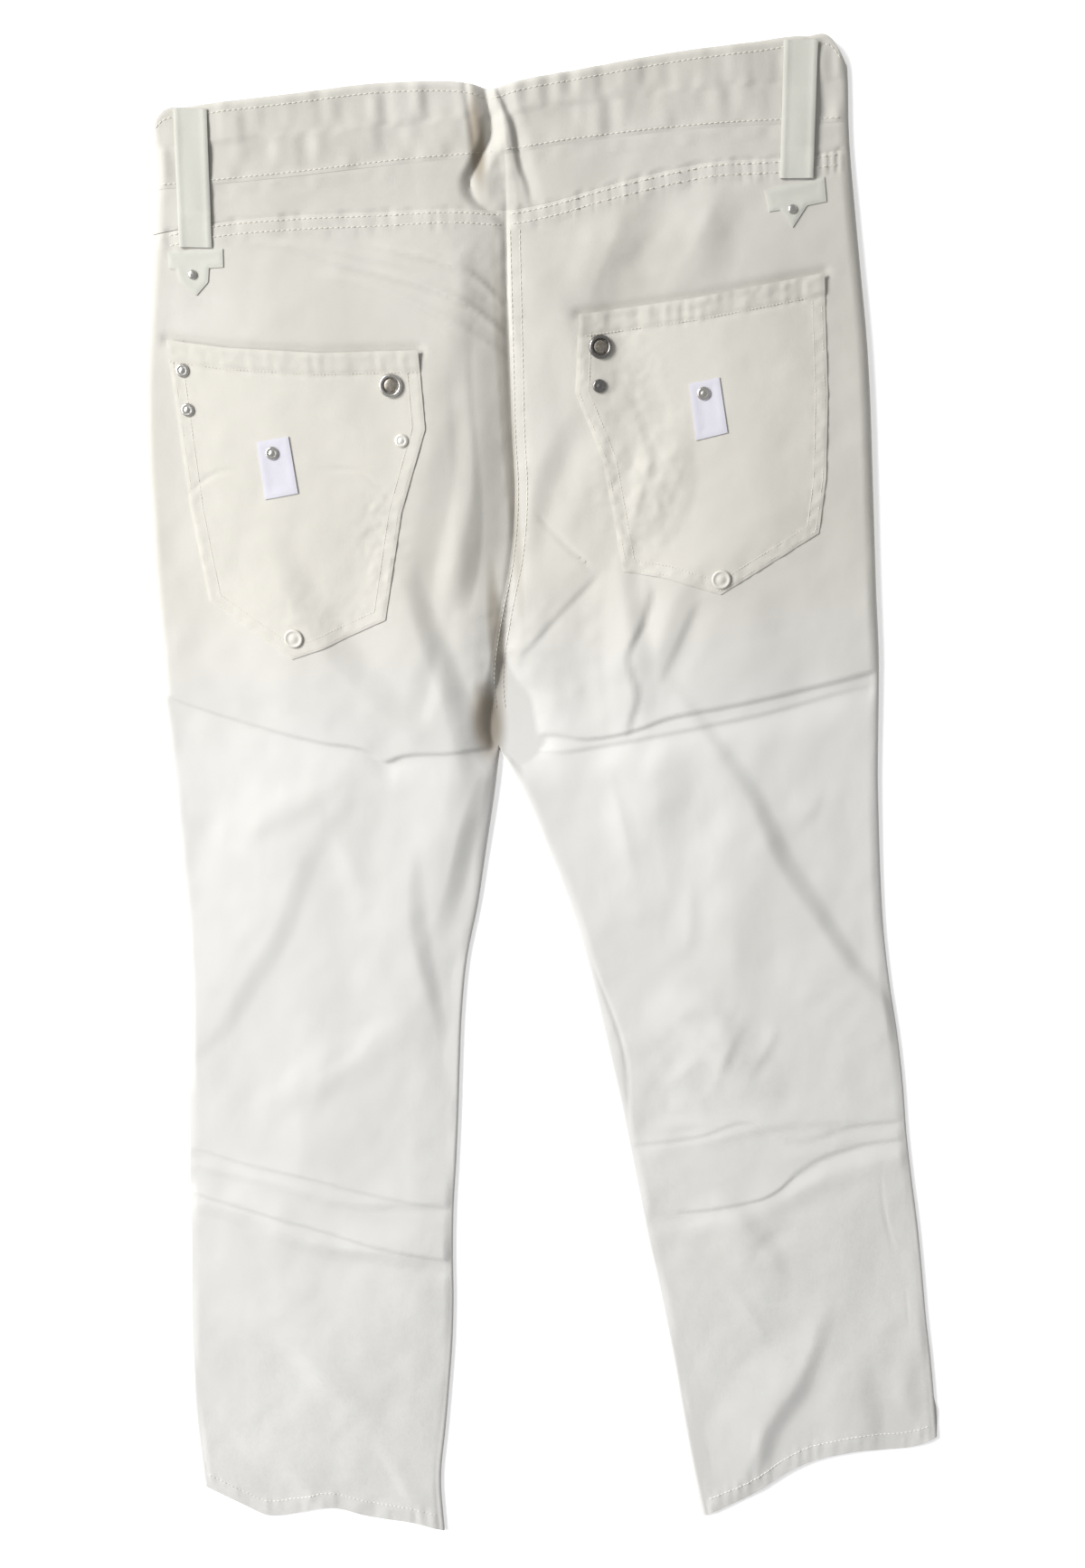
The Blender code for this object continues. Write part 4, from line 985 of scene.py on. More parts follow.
class Group:
    """A shader node group under construction, with short calls for its nodes and links."""

    def __init__(self, name: str, inputs: dict[str, float | tuple], outputs: dict[str, str]) -> None:
        """Makes the group and its sockets.

        Args:
            name: the group's name.
            inputs: each input's default value, a number or a colour.
            outputs: each output's socket type.
        """
        self.tree = bpy.data.node_groups.new(name, "ShaderNodeTree")
        for label, value in inputs.items():
            kind = "NodeSocketColor" if isinstance(value, tuple) else "NodeSocketFloat"
            socket = self.tree.interface.new_socket(label, in_out="INPUT", socket_type=kind)
            socket.default_value = value
        for label, kind in outputs.items():
            self.tree.interface.new_socket(label, in_out="OUTPUT", socket_type=kind)
        self.given = self.tree.nodes.new("NodeGroupInput")
        self.result = self.tree.nodes.new("NodeGroupOutput")

    def add(self, kind: str, values: dict[str | int, object] | None = None, **options: object) -> Node:
        """Adds a node with these input values and options."""
        return add_node(self.tree, kind, values, **options)

    def join(self, *links: tuple[Node, str | int, Node, str | int]) -> None:
        """Links nodes of the group."""
        join_nodes(self.tree, *links)


def twill_group() -> Tree:
    """Fine diagonal ribs with uneven yarns, as a height from 0 to 1."""
    group = Group(
        "Twill weave",
        {"Rib Scale": 1100.0, "Slub Scale": 260.0, "Slub Share": 0.45},
        {"Height": "NodeSocketFloat"},
    )
    place = group.add("TexCoord")
    turn = group.add("Mapping", {"Rotation": (0.0, 0.0, math.radians(RIB_TURN))})
    ribs = group.add("TexWave", {"Distortion": 0.6, "Detail": 1.0}, wave_type="BANDS", bands_direction="X")
    slubs = group.add("TexNoise", {"Detail": 3.0, "Roughness": 0.6})
    mix = group.add("Mix", data_type="FLOAT")
    group.join(
        (place, "Object", turn, "Vector"),
        (turn, "Vector", ribs, "Vector"),
        (group.given, "Rib Scale", ribs, "Scale"),
        (place, "Object", slubs, "Vector"),
        (group.given, "Slub Scale", slubs, "Scale"),
        (group.given, "Slub Share", mix, "Factor"),
        (ribs, "Fac", mix, "A"),
        (slubs, "Fac", mix, "B"),
        (mix, "Result", group.result, "Height"),
    )
    return group.tree


class CreaseShade(NamedTuple):
    """A long spot of painted shade, dark and brown, deep in a fold: its middle, half sizes and strength, in
    metres.
    """

    name: str
    x: float
    y: float
    half_width: float
    half_length: float
    strength: float


# Painted shade: darker, browner colour laid along the deepest creases, where the shade falls
CREASE_SHADES = table(
    CreaseShade,
    ("crotch", -0.0155, 0.132, 0.0155, 0.038, 0.82), ("above the crotch", -0.005, 0.190, 0.007, 0.060, 0.6),
    ("centre back", 0.0125, 0.320, 0.006, 0.150, 0.4), ("waist slit", 0.0070, 0.492, 0.007, 0.036, 0.8),
)


def tone_group() -> Tree:
    """The cloth's colour: the seat a little warmer than the legs, seat and waist darker as painted light
    falloff towards the waist, soft uneven patches, and painted shade deep in the creases.
    """
    group = Group(
        "Cloth tone with painted shade",
        {
            "Leg Color": (0.8, 0.8, 0.78, 1.0),
            "Seat Color": (0.76, 0.74, 0.68, 1.0),
            "Waist Color": (0.70, 0.68, 0.62, 1.0),
            "Patch Color": (0.74, 0.75, 0.71, 1.0),
            "Patch Scale": 9.0,
            "Patch Share": 0.5,
            # The colour of the painted shade deep in the creases
            "Crease Shade Color": (0.24, 0.20, 0.148, 1.0),
        },
        {"Color": "NodeSocketColor"},
    )
    given = group.given
    place = group.add("TexCoord")
    split = group.add("SeparateXYZ")
    height = group.add("MapRange", SEAT_RISE, interpolation_type="SMOOTHSTEP")
    by_height = group.add("Mix", data_type="RGBA")
    waist_height = group.add("MapRange", WAIST_RISE, interpolation_type="LINEAR")
    by_waist = group.add("Mix", data_type="RGBA")
    noise = group.add("TexNoise", {"Detail": 4.0, "Roughness": 0.55})
    spread = group.add("MapRange", {"From Min": 0.42, "From Max": 0.72})
    share = group.add("Math", operation="MULTIPLY")
    patches = group.add("Mix", data_type="RGBA")
    group.join(
        (place, "Object", split, "Vector"),
        (split, "Y", height, "Value"),
        (height, "Result", by_height, "Factor"),
        (given, "Leg Color", by_height, COLOR_A),
        (given, "Seat Color", by_height, COLOR_B),
        (split, "Y", waist_height, "Value"),
        (waist_height, "Result", by_waist, "Factor"),
        (by_height, COLOR_OUT, by_waist, COLOR_A),
        (given, "Waist Color", by_waist, COLOR_B),
        (place, "Object", noise, "Vector"),
        (given, "Patch Scale", noise, "Scale"),
        (noise, "Fac", spread, "Value"),
        (spread, "Result", share, 0),
        (given, "Patch Share", share, 1),
        (share, "Value", patches, "Factor"),
        (by_waist, COLOR_OUT, patches, COLOR_A),
        (given, "Patch Color", patches, COLOR_B),
    )
    tone = patches
    # Paint the shade of each deep crease into the colour
    for spot in CREASE_SHADES:
        away = group.add("VectorMath", {1: (spot.x, spot.y, 0.0)}, operation="SUBTRACT")
        halves = (1 / spot.half_width, 1 / spot.half_length, 0.0)
        shares = group.add("VectorMath", {1: halves}, operation="MULTIPLY")
        reach = group.add("VectorMath", operation="LENGTH")
        fade = {"From Min": 1.0, "From Max": CREASE_SHADE_CORE, "To Max": spot.strength}
        depth = group.add("MapRange", fade, interpolation_type="SMOOTHSTEP")
        darker = group.add("Mix", data_type="RGBA")
        group.join(
            (place, "Object", away, 0),
            (away, "Vector", shares, 0),
            (shares, "Vector", reach, 0),
            (reach, "Value", depth, "Value"),
            (depth, "Result", darker, "Factor"),
            (tone, COLOR_OUT, darker, COLOR_A),
            (given, "Crease Shade Color", darker, COLOR_B),
        )
        tone = darker
    group.join((tone, COLOR_OUT, group.result, "Color"))
    return group.tree


def scuff_group() -> Tree:
    """Fine scuffs on metal and enamel, as a roughness and a mask of the worn places."""
    group = Group(
        "Scuffs",
        {"Smooth": 0.25, "Scuffed": 0.5, "Scale": 900.0},
        {"Roughness": "NodeSocketFloat", "Mask": "NodeSocketFloat"},
    )
    place = group.add("TexCoord")
    noise = group.add("TexNoise", {"Detail": 5.0, "Roughness": 0.65})
    spread = group.add("MapRange", {"From Min": 0.4, "From Max": 0.65})
    level = group.add("Mix", data_type="FLOAT")
    group.join(
        (place, "Object", noise, "Vector"),
        (group.given, "Scale", noise, "Scale"),
        (noise, "Fac", spread, "Value"),
        (spread, "Result", level, "Factor"),
        (group.given, "Smooth", level, "A"),
        (group.given, "Scuffed", level, "B"),
        (level, "Result", group.result, "Roughness"),
        (spread, "Result", group.result, "Mask"),
    )
    return group.tree


def new_material(name: str) -> tuple[bpy.types.Material, Node]:
    """A new material and its shader."""
    made = bpy.data.materials.new(name)
    made.use_nodes = True
    return made, made.node_tree.nodes["Principled BSDF"]


@dataclass(frozen=True)
class Finish:
    """A surface: its material's name, and the slot that it can be swapped by."""

    name: str
    slot: str

    def material(self, groups: dict[str, Tree]) -> bpy.types.Material:
        """The finish's material, made once."""
        made = bpy.data.materials.get(self.name)
        if made is None:
            made, shader = new_material(self.name)
            self.wire(made.node_tree, shader, groups)
        return made

    def wire(self, tree: Tree, shader: Node, groups: dict[str, Tree]) -> None:
        """Sets the shader and joins the groups to it."""
        raise NotImplementedError


@dataclass(frozen=True)
class ClothFinish(Finish):
    """A cotton cloth: its colours on the legs, on the seat, at the waist and in the uneven patches, the
    seat's and the waist's darker in part as painted light falloff, and its weave.
    """

    leg: Color
    seat: Color
    waist: Color
    patch: Color
    patch_share: float = 0.5
    rib_scale: float = 1100.0
    weave_depth: float = 0.00006
    roughness: float = 0.93
    specular: float = 0.12
    sheen: float = 0.03
    sheen_roughness: float = 0.6

    def wire(self, tree: Tree, shader: Node, groups: dict[str, Tree]) -> None:
        """Gives the shader the tone, with its painted falloff and crease shade, and the weave."""
        set_inputs(shader, {"Roughness": self.roughness, "Specular IOR Level": self.specular})
        set_inputs(shader, {"Sheen Weight": self.sheen, "Sheen Roughness": self.sheen_roughness})
        colors = {"Leg": self.leg, "Seat": self.seat, "Waist": self.waist, "Patch": self.patch}
        values = {f"{part} Color": (*color, 1.0) for part, color in colors.items()}
        values["Patch Share"] = self.patch_share
        tone = add_node(tree, "Group", values, node_tree=groups["tone"])
        weave = add_node(tree, "Group", {"Rib Scale": self.rib_scale}, node_tree=groups["twill"])
        bump = add_node(tree, "Bump", {"Distance": self.weave_depth, "Strength": 1.0})
        join_nodes(
            tree,
            (tone, "Color", shader, "Base Color"),
            (weave, "Height", bump, "Height"),
            (bump, "Normal", shader, "Normal"),
        )


@dataclass(frozen=True)
class TrimFinish(Finish):
    """A metal or an enamel: its clean and worn colours and how smooth it is."""

    color: Color
    worn: Color
    smooth: float
    scuffed: float
    metallic: float

    def wire(self, tree: Tree, shader: Node, groups: dict[str, Tree]) -> None:
        """Gives the shader the two colours and the scuffs between them."""
        set_inputs(shader, {"Metallic": self.metallic})
        levels = {"Smooth": self.smooth, "Scuffed": self.scuffed}
        scuffs = add_node(tree, "Group", levels, node_tree=groups["scuff"])
        colors = {COLOR_A: (*self.color, 1.0), COLOR_B: (*self.worn, 1.0)}
        mix = add_node(tree, "Mix", colors, data_type="RGBA")
        join_nodes(
            tree,
            (scuffs, "Mask", mix, "Factor"),
            (mix, COLOR_OUT, shader, "Base Color"),
            (scuffs, "Roughness", shader, "Roughness"),
        )


# In each cloth the seat and waist colours are darker than the leg's: painted light falloff towards the waist,
# besides the cloth's warmer tone there
TWILL = ClothFinish(
    "off_white_twill", "white_twill",
    (0.682, 0.675, 0.655), (0.634, 0.613, 0.563), (0.515, 0.498, 0.455), (0.65, 0.64, 0.60),
)
POCKET_TWILL = ClothFinish(
    "pocket_twill", "white_twill",
    (0.675, 0.656, 0.608), (0.625, 0.602, 0.55), (0.58, 0.561, 0.51), (0.63, 0.61, 0.553),
)
LOOP_TWILL = ClothFinish(
    "loop_twill", "white_twill",
    (0.61, 0.61, 0.555), (0.59, 0.59, 0.538), (0.535, 0.535, 0.485), (0.57, 0.57, 0.525),
)
LABEL_CLOTH = ClothFinish(
    "lilac_label", "label_cloth",
    (0.61, 0.60, 0.66), (0.61, 0.60, 0.66), (0.61, 0.60, 0.66), (0.64, 0.63, 0.68), 0.4, 1700.0, 0.00003,
)
THREAD = ClothFinish(
    "cotton_thread", "white_twill",
    (0.74, 0.73, 0.69), (0.70, 0.675, 0.61), (0.62, 0.60, 0.54), (0.66, 0.64, 0.58), 0.5, 2600.0, 0.00003,
)
NICKEL = TrimFinish("polished_nickel", "nickel", (0.72, 0.71, 0.68), (0.52, 0.50, 0.46), 0.22, 0.45, 1.0)
DARK_NICKEL = TrimFinish(
    "brown_nickel", "dark_nickel", (0.30, 0.27, 0.23), (0.42, 0.39, 0.34), 0.34, 0.6, 1.0
)
SMOKED_NICKEL = TrimFinish(
    "smoked_nickel", "dark_nickel", (0.34, 0.33, 0.32), (0.18, 0.17, 0.16), 0.24, 0.45, 1.0
)
PALE_NICKEL = TrimFinish("pale_nickel", "nickel", (0.90, 0.88, 0.82), (0.80, 0.78, 0.72), 0.30, 0.5, 0.6)
ENAMEL = TrimFinish("stud_enamel", "white_enamel", (0.63, 0.612, 0.56), (0.57, 0.55, 0.50), 0.5, 0.65, 0.0)


# Meshes


def grid_quads(rows: int, columns: int, first: int, up: bool) -> Array:
    """Faces of a grid of points, a row at a time."""
    start = first + np.arange(rows - 1)[:, None] * columns + np.arange(columns - 1)
    quads = np.stack([start, start + 1, start + columns + 1, start + columns], axis=-1).reshape(-1, 4)
    return quads if up else quads[:, ::-1]


def border_of(rows: int, columns: int) -> Array:
    """Indices round a grid, once, counter-clockwise seen from above where y rises with the row."""
    last = rows * columns
    return np.concatenate(
        [
            np.arange(columns - 1),
            np.arange(columns - 1, last - 1, columns),
            np.arange(last - 1, last - columns, -1),
            np.arange(last - columns, 0, -columns),
        ]
    )


def grid_normals(points: Array) -> Array:
    """Unit normals of a grid of points, turned up."""
    down, along = np.gradient(points, axis=0), np.gradient(points, axis=1)
    normals = np.cross(along, down)
    normals /= np.maximum(np.linalg.norm(normals, axis=-1, keepdims=True), 1e-9)
    return normals * np.where(normals[..., 2:] < 0, -1.0, 1.0)


def add_object(name: str, data: bpy.types.ID) -> bpy.types.Object:
    """A new object in the scene."""
    made = bpy.data.objects.new(name, data)
    bpy.context.scene.collection.objects.link(made)
    return made


def mesh_piece(
    name: str, points: Array, faces: Iterable[Sequence[int]], material: bpy.types.Material
) -> Piece:
    """A smooth-shaded object of these points, given in millimetres."""
    mesh = bpy.data.meshes.new(name)
    mesh.from_pydata((points * MM).tolist(), [], [tuple(face) for face in faces])
    mesh.validate()
    mesh.shade_smooth()
    mesh.set_sharp_from_angle(angle=SHARP_ANGLE)
    mesh.materials.append(material)
    return add_object(name, mesh)


class Inward(NamedTuple):
    """A stretch of a grid, and the normal that its wall is set in along."""

    rows: slice
    columns: slice
    direction: tuple[float, float, float]


FIRST, LAST = slice(0, 1), slice(-1, None)
UP = (0.0, 0.0, 1.0)
STRAIGHT_DOWN = (Inward(slice(None), slice(None), UP),)


def shell_piece(
    name: str, top: Array, wall: float, inward: Sequence[Inward], material: bpy.types.Material
) -> Piece:
    """A closed wall of cloth under a grid of outer points, its rim a little round.

    Args:
        name: the piece's name.
        top: the outer face, rows x columns x 3.
        wall: the wall's thickness.
        inward: the wall's direction, as a normal, for stretches of the border.
        material: the cloth.

    Returns:
        The piece.
    """
    rows, columns = top.shape[:2]
    normals = grid_normals(top)
    for stretch in inward:
        normals[stretch.rows, stretch.columns] = stretch.direction
    bottom = top - wall * normals
    border = border_of(rows, columns)
    flat_top, flat_bottom = top.reshape(-1, 3), bottom.reshape(-1, 3)
    inner = top[1:-1, 1:-1].reshape(-1, 3).mean(axis=0)
    tangent = np.roll(flat_top[border], -1, axis=0) - np.roll(flat_top[border], 1, axis=0)
    out = np.cross(tangent, UP)
    out /= np.maximum(np.linalg.norm(out, axis=1, keepdims=True), 1e-9)
    if ((flat_top[border] - inner) * out).sum() < 0:
        out = -out
    rim = (flat_top[border] + flat_bottom[border]) / 2 + RIM_BULGE * out
    count, around = rows * columns, len(border)
    ring = 2 * count + np.arange(around)
    after, next_ring = np.roll(border, -1), np.roll(ring, -1)
    sides = [
        np.stack([border, ring, next_ring, after], axis=1),
        np.stack([ring, border + count, after + count, next_ring], axis=1),
    ]
    up = signed_area(flat_top[border]) > 0
    faces = [grid_quads(rows, columns, 0, up), grid_quads(rows, columns, count, not up)]
    faces += [side if up else side[:, ::-1] for side in sides]
    return mesh_piece(name, np.concatenate([flat_top, flat_bottom, rim]), np.concatenate(faces), material)


def signed_area(points: Array) -> float:
    """Area inside a loop seen from above, positive where it runs counter-clockwise."""
    x, y = points[:, 0], points[:, 1]
    return float((x * np.roll(y, -1) - y * np.roll(x, -1)).sum() / 2)


@dataclass
class Dresser:
    """What every sub-assembly shares: the drape, the node groups and the calls that join it to the frame."""

    drape: Drape
    groups: dict[str, Tree]

    def place(self, piece: Piece, slot: str, *nodes: str) -> Piece:
        """Fixes a piece to the body and hides the nodes that it stands for."""
        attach(piece, BODY)
        if nodes:
            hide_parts(*nodes)
        LOG.info("%s: %d faces", piece.name, len(piece.data.polygons))
        return piece

    def cloth(
        self,
        node: str,
        top: Array,
        wall: float,
        inward: Sequence[Inward],
        finish: ClothFinish,
        *rests_on: str,
    ) -> None:
        """Args:
            node: the solid that it stands for.
            top: the outer face, rows x columns x 3.
            wall: the wall's thickness.
            inward: the wall's direction, as a normal, for stretches of the border.
            finish: the cloth.
            rests_on: the pieces that it lies on; not used.
        """
        piece = shell_piece(f"cloth_{node}", top, wall, inward, finish.material(self.groups))
        self.place(piece, finish.slot, node)


# The cloth


@dataclass
class BackPanel:
    """One back panel: the seat and the back of the leg in one piece."""

    side: str
    columns: int = 122
    hem_fade_rows: float = 84.0
    mouth_dip: float = 1.2
    mouth_reach: float = 3.5

    def rows(self) -> Array:
        """Where each row of the panel starts and ends, from the hem up to the yoke seam."""
        stations = LEG_STATIONS[self.side]
        ends = (section_edge(f"{self.side}_out", YOKE_SEAM[0].y), CENTRE_X)
        seam = (float(edge_curve(YOKE_SEAM, end)) - SEAM_GAP for end in ends)
        top = Station("yoke", *seam, stations[-1].pitch)
        made = []
        for here, after in zip(stations, stations[1:] + (top,)):
            count = max(2, round((after.y_out - here.y_out) / here.pitch))
            steps = np.arange(count)[:, None] / count
            made.append(np.array([here[1:3]]) * (1 - steps) + np.array([after[1:3]]) * steps)
        made.append(np.array([top[1:3]]))
        return np.concatenate(made)

    def grid(self) -> tuple[Array, Array]:
        """X and Y of the panel's grid."""
        rows = self.rows()
        share = crowded_steps(self.columns)
        outer_x, inner_x = side_edges(self.side, rows[:, 0], rows[:, 1], RIM_BULGE, SEAM_GAP)
        x = outer_x[:, None] + (inner_x - outer_x)[:, None] * share
        y = rows[:, :1] + (rows[:, 1] - rows[:, 0])[:, None] * share
        hem_bow = edge_curve(HEMS[self.side], x[0]) - y[0]
        seam_bow = edge_curve(YOKE_SEAM, x[-1]) - SEAM_GAP - y[-1]
        fade = 1 - eased(np.arange(len(rows)) / self.hem_fade_rows)
        rise = eased((rows[:, 1] - CROTCH_Y) / (rows[-1, 1] - CROTCH_Y))
        return x, y + hem_bow * fade[:, None] + seam_bow * rise[:, None]

    def build(self, dresser: Dresser) -> None:
        """Builds the panel and joins it to the frame."""
        sign = SIGNS[self.side]
        x, y = self.grid()
        mouth = chain_distance(x, y, np.asarray(POCKETS[self.side].top, float))
        top = dresser.drape.points(x, y, -self.mouth_dip * bell(mouth / self.mouth_reach))
        crotch_row = int(np.searchsorted(self.rows()[:, 1], CROTCH_Y))
        inward = (
            Inward(slice(None), FIRST, (sign, 0.0, 0.0)),
            Inward(slice(0, crotch_row), LAST, (-sign, 0.0, 0.0)),
            Inward(slice(crotch_row, None), LAST, UP),
        )
        dresser.cloth(f"back_{self.side}", top, BACK_WALL, inward, TWILL, f"cloth_front_{self.side}")


@dataclass
class SeatBand:
    """A band across the seat between two seams: a half of the yoke, or the whole waistband."""

    name: str
    sides: tuple[str, ...]
    lower: tuple[Point, ...]
    upper: tuple[Point, ...]
    half_columns: int
    rows: int
    top_free: bool = False

    def half(self, side: str) -> tuple[Array, Array]:
        """X and Y of the grid of one half, from the side seam to the centre back."""
        share = crowded_steps(self.half_columns)
        middle_y = (self.lower[0].y + self.upper[0].y) / 2
        outer_x, inner_x = side_edges(side, middle_y, middle_y, 0.0, SEAM_GAP)
        across = outer_x + (inner_x - outer_x) * share
        low = edge_curve(self.lower, across) + SEAM_GAP
        high = edge_curve(self.upper, across) - (RIM_BULGE if self.top_free else SEAM_GAP)
        y = low + (high - low) * (np.arange(self.rows + 1) / self.rows)[:, None]
        start, end = side_edges(side, y, y, RIM_BULGE, SEAM_GAP if len(self.sides) == 1 else 0.0)
        return start + (end - start) * share, y

    def build(self, dresser: Dresser) -> None:
        """Builds the band and joins it to the frame."""
        halves = [self.half(side) for side in self.sides]
        x, y = halves[0]
        last = UP
        if len(halves) == 2:
            x, y = (np.concatenate([a[:, :-1], b[:, ::-1]], axis=1) for a, b in zip(*halves))
            last = (1.0, 0.0, 0.0)
        away = edge_curve(self.upper, x) - y
        roll = (1 - rounded(away, WAIST_ROLL)) * WAIST_DROP if self.top_free else 0.0
        top = dresser.drape.points(x, y, -roll)
        first = (float(SIGNS[self.sides[0]]), 0.0, 0.0)
        inward = (Inward(slice(None), FIRST, first), Inward(slice(None), LAST, last))
        fronts = (f"cloth_front_{side}" for side in self.sides)
        dresser.cloth(self.name, top, BACK_WALL, inward, TWILL, *fronts)


@dataclass
class Patch:
    """A flat patch sewn on the cloth: a pocket, a label or a tab, over a grid between its four edges."""

    name: str
    outline: PocketOutline
    finish: ClothFinish
    wall: float
    layer: float
    rests_on: str
    columns: int = 90
    rows: int = 110
    rim: float = 0.15
    band_depth: float = 0.0
    band_lap: float = 0.3
    band_groove: float = 0.35
    gape: float = 1.2
    pucker: float = 0.0
    pucker_pitch: float = 7.0
    pucker_length: float = 40.0
    edge_pucker_reach: float = 12.0
    curl: float = 0.0
    seed: int = 70

    def grid(self) -> tuple[Array, Array]:
        """X and Y of the patch's grid, from its foot up to its top."""
        across, down = np.arange(self.columns + 1) / self.columns, np.arange(self.rows + 1) / self.rows
        top, foot = walked(self.outline.top, across), walked(self.outline.foot, across)
        left, right = walked(self.outline.left, down), walked(self.outline.right, down)
        u, v = across[None, :, None], down[:, None, None]
        ruled = (1 - v) * top[None] + v * foot[None] + (1 - u) * left[:, None] + u * right[:, None]
        corners = (1 - u) * (1 - v) * top[0] + u * (1 - v) * top[-1]
        corners = corners + (1 - u) * v * foot[0] + u * v * foot[-1]
        points = (ruled - corners)[::-1]
        return points[..., 0], points[..., 1]

    def edge_chain(self) -> Array:
        """The patch's outline as one closed chain."""
        top, left, right, foot = (list(chain) for chain in self.outline)
        return np.asarray(top + right[1:] + foot[::-1][1:] + left[::-1][1:], float)

    def relief(self, x: Array, y: Array) -> Array:
        """The patch's own relief: a full rim, its hem band at the top, and puckers along its edges."""
        near = chain_distance(x, y, self.edge_chain())
        made = self.rim * (bell((near - 2.4) / 2.6) - bell(near / 1.2))
        if self.band_depth:
            below = chain_distance(x, y, np.asarray(self.outline.top, float))
            made += self.band_lap * eased((self.band_depth - below) / 1.5)
            made += self.gape * np.clip(1 - below / self.band_depth, 0.0, 1.0)
            made -= self.band_groove * bell((below - self.band_depth + 1.0) / 1.4)
            wave = Noise(self.seed).at(2 * x / self.pucker_pitch, y / self.pucker_length)
            made += self.pucker * wave * eased(below / 3.0) * eased((self.band_depth + 3.0 - below) / 5.0)
        wave = Noise(self.seed + 1).at(2 * x / self.pucker_pitch, 2 * y / self.pucker_pitch)
        made += 0.5 * self.pucker * wave * eased((self.edge_pucker_reach - near) / 6.0)
        return made + self.curl * bell(near / 4.0)

    def build(self, dresser: Dresser) -> None:
        """Builds the patch and joins it to the frame."""
        x, y = self.grid()
        top = dresser.drape.points(x, y, self.layer + self.relief(x, y))
        dresser.cloth(self.name, top, self.wall, STRAIGHT_DOWN, self.finish, self.rests_on)


@dataclass
class BeltLoop:
    """A wide belt loop over the waistband, up to its top edge."""

    side: str
    rows: int = 60
    columns: int = 14
    clear: float = 0.3
    reach: int = 5
    wall: float = LOOP_WALL
    rim: float = 0.35
    rim_fall: float = 0.3
    sway: float = 0.25
    seed: int = 91

    def spine(self, share: Array) -> tuple[Array, Array, Array]:
        """The loop's middle line.

        Args:
            share: shares of its length, from the top.

        Returns:
            X and Y of the points there, and the unit vector across.
        """
        strip = LOOPS[self.side]
        run = np.array([strip.foot_x - strip.top_x, strip.foot_y - strip.top_y])
        across = np.array([-run[1], run[0]]) / np.hypot(*run)
        return strip.top_x + run[0] * share, strip.top_y + run[1] * share, across

    def build(self, dresser: Dresser) -> None:
        """Builds the loop and joins it to the frame."""
        share = np.arange(self.rows + 1) / self.rows
        x_mid, y_mid, across = self.spine(share)
        offsets = np.linspace(-LOOP_WIDTH / 2, LOOP_WIDTH / 2, self.columns + 1)
        x, y = x_mid[:, None] + across[0] * offsets, y_mid[:, None] + across[1] * offsets
        field_height = dresser.drape.height(x, y)
        near = [field_height[max(0, i - self.reach) : i + self.reach + 1] for i in range(len(share))]
        smooth = np.array([0.5 * (rows.max() + rows.mean()) for rows in near])
        arch = self.clear + LOOPS[self.side].stand_off * np.sin(np.pi * share)
        edge = LOOP_WIDTH / 2 - np.abs(offsets)
        relief = self.rim * bell((edge - 1.6) / 1.5) - self.rim_fall * bell(edge / 0.9)
        sway = self.sway * Noise(self.seed).at(share[:, None] * 7.0, offsets[None, :] / 12.0)
        z = (smooth + arch + self.wall)[:, None] + relief[None, :] + sway
        top = np.stack([x, y, z], axis=-1)
        rests_on = "cloth_waistband_back"
        dresser.cloth(f"belt_loop_{self.side}", top, self.wall, STRAIGHT_DOWN, LOOP_TWILL, rests_on)


@dataclass
class FrontPanel:
    """One front panel: flat on the floor under the back one."""

    side: str
    columns: int = 30
    rows: int = 150
    crowding: float = 0.8
    hem_share: float = 9.0

    def build(self, dresser: Dresser) -> None:
        """Builds the panel and joins it to the frame."""
        low, high = (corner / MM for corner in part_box(f"front_{self.side}"))
        inset = GAP + RIM_BULGE
        share = crowded_steps(self.columns, self.crowding)
        down = np.linspace(0.0, 1.0, self.rows + 1)
        y_line = low[1] + (high[1] - low[1]) * down
        outer, inner = side_edges(self.side, y_line, y_line, inset, inset)
        x = outer[:, None] + (inner - outer)[:, None] * share
        hem_y = edge_curve(HEMS[self.side], x[0]) + GAP
        y = y_line[:, None] + (hem_y - y_line[0]) * (1 - eased(down * self.hem_share))[:, None]
        top = np.stack([x, y, np.full_like(x, FRONT_WALL)], axis=-1)
        dresser.cloth(f"front_{self.side}", top, FRONT_WALL, STRAIGHT_DOWN, TWILL, "floor")


# Thread


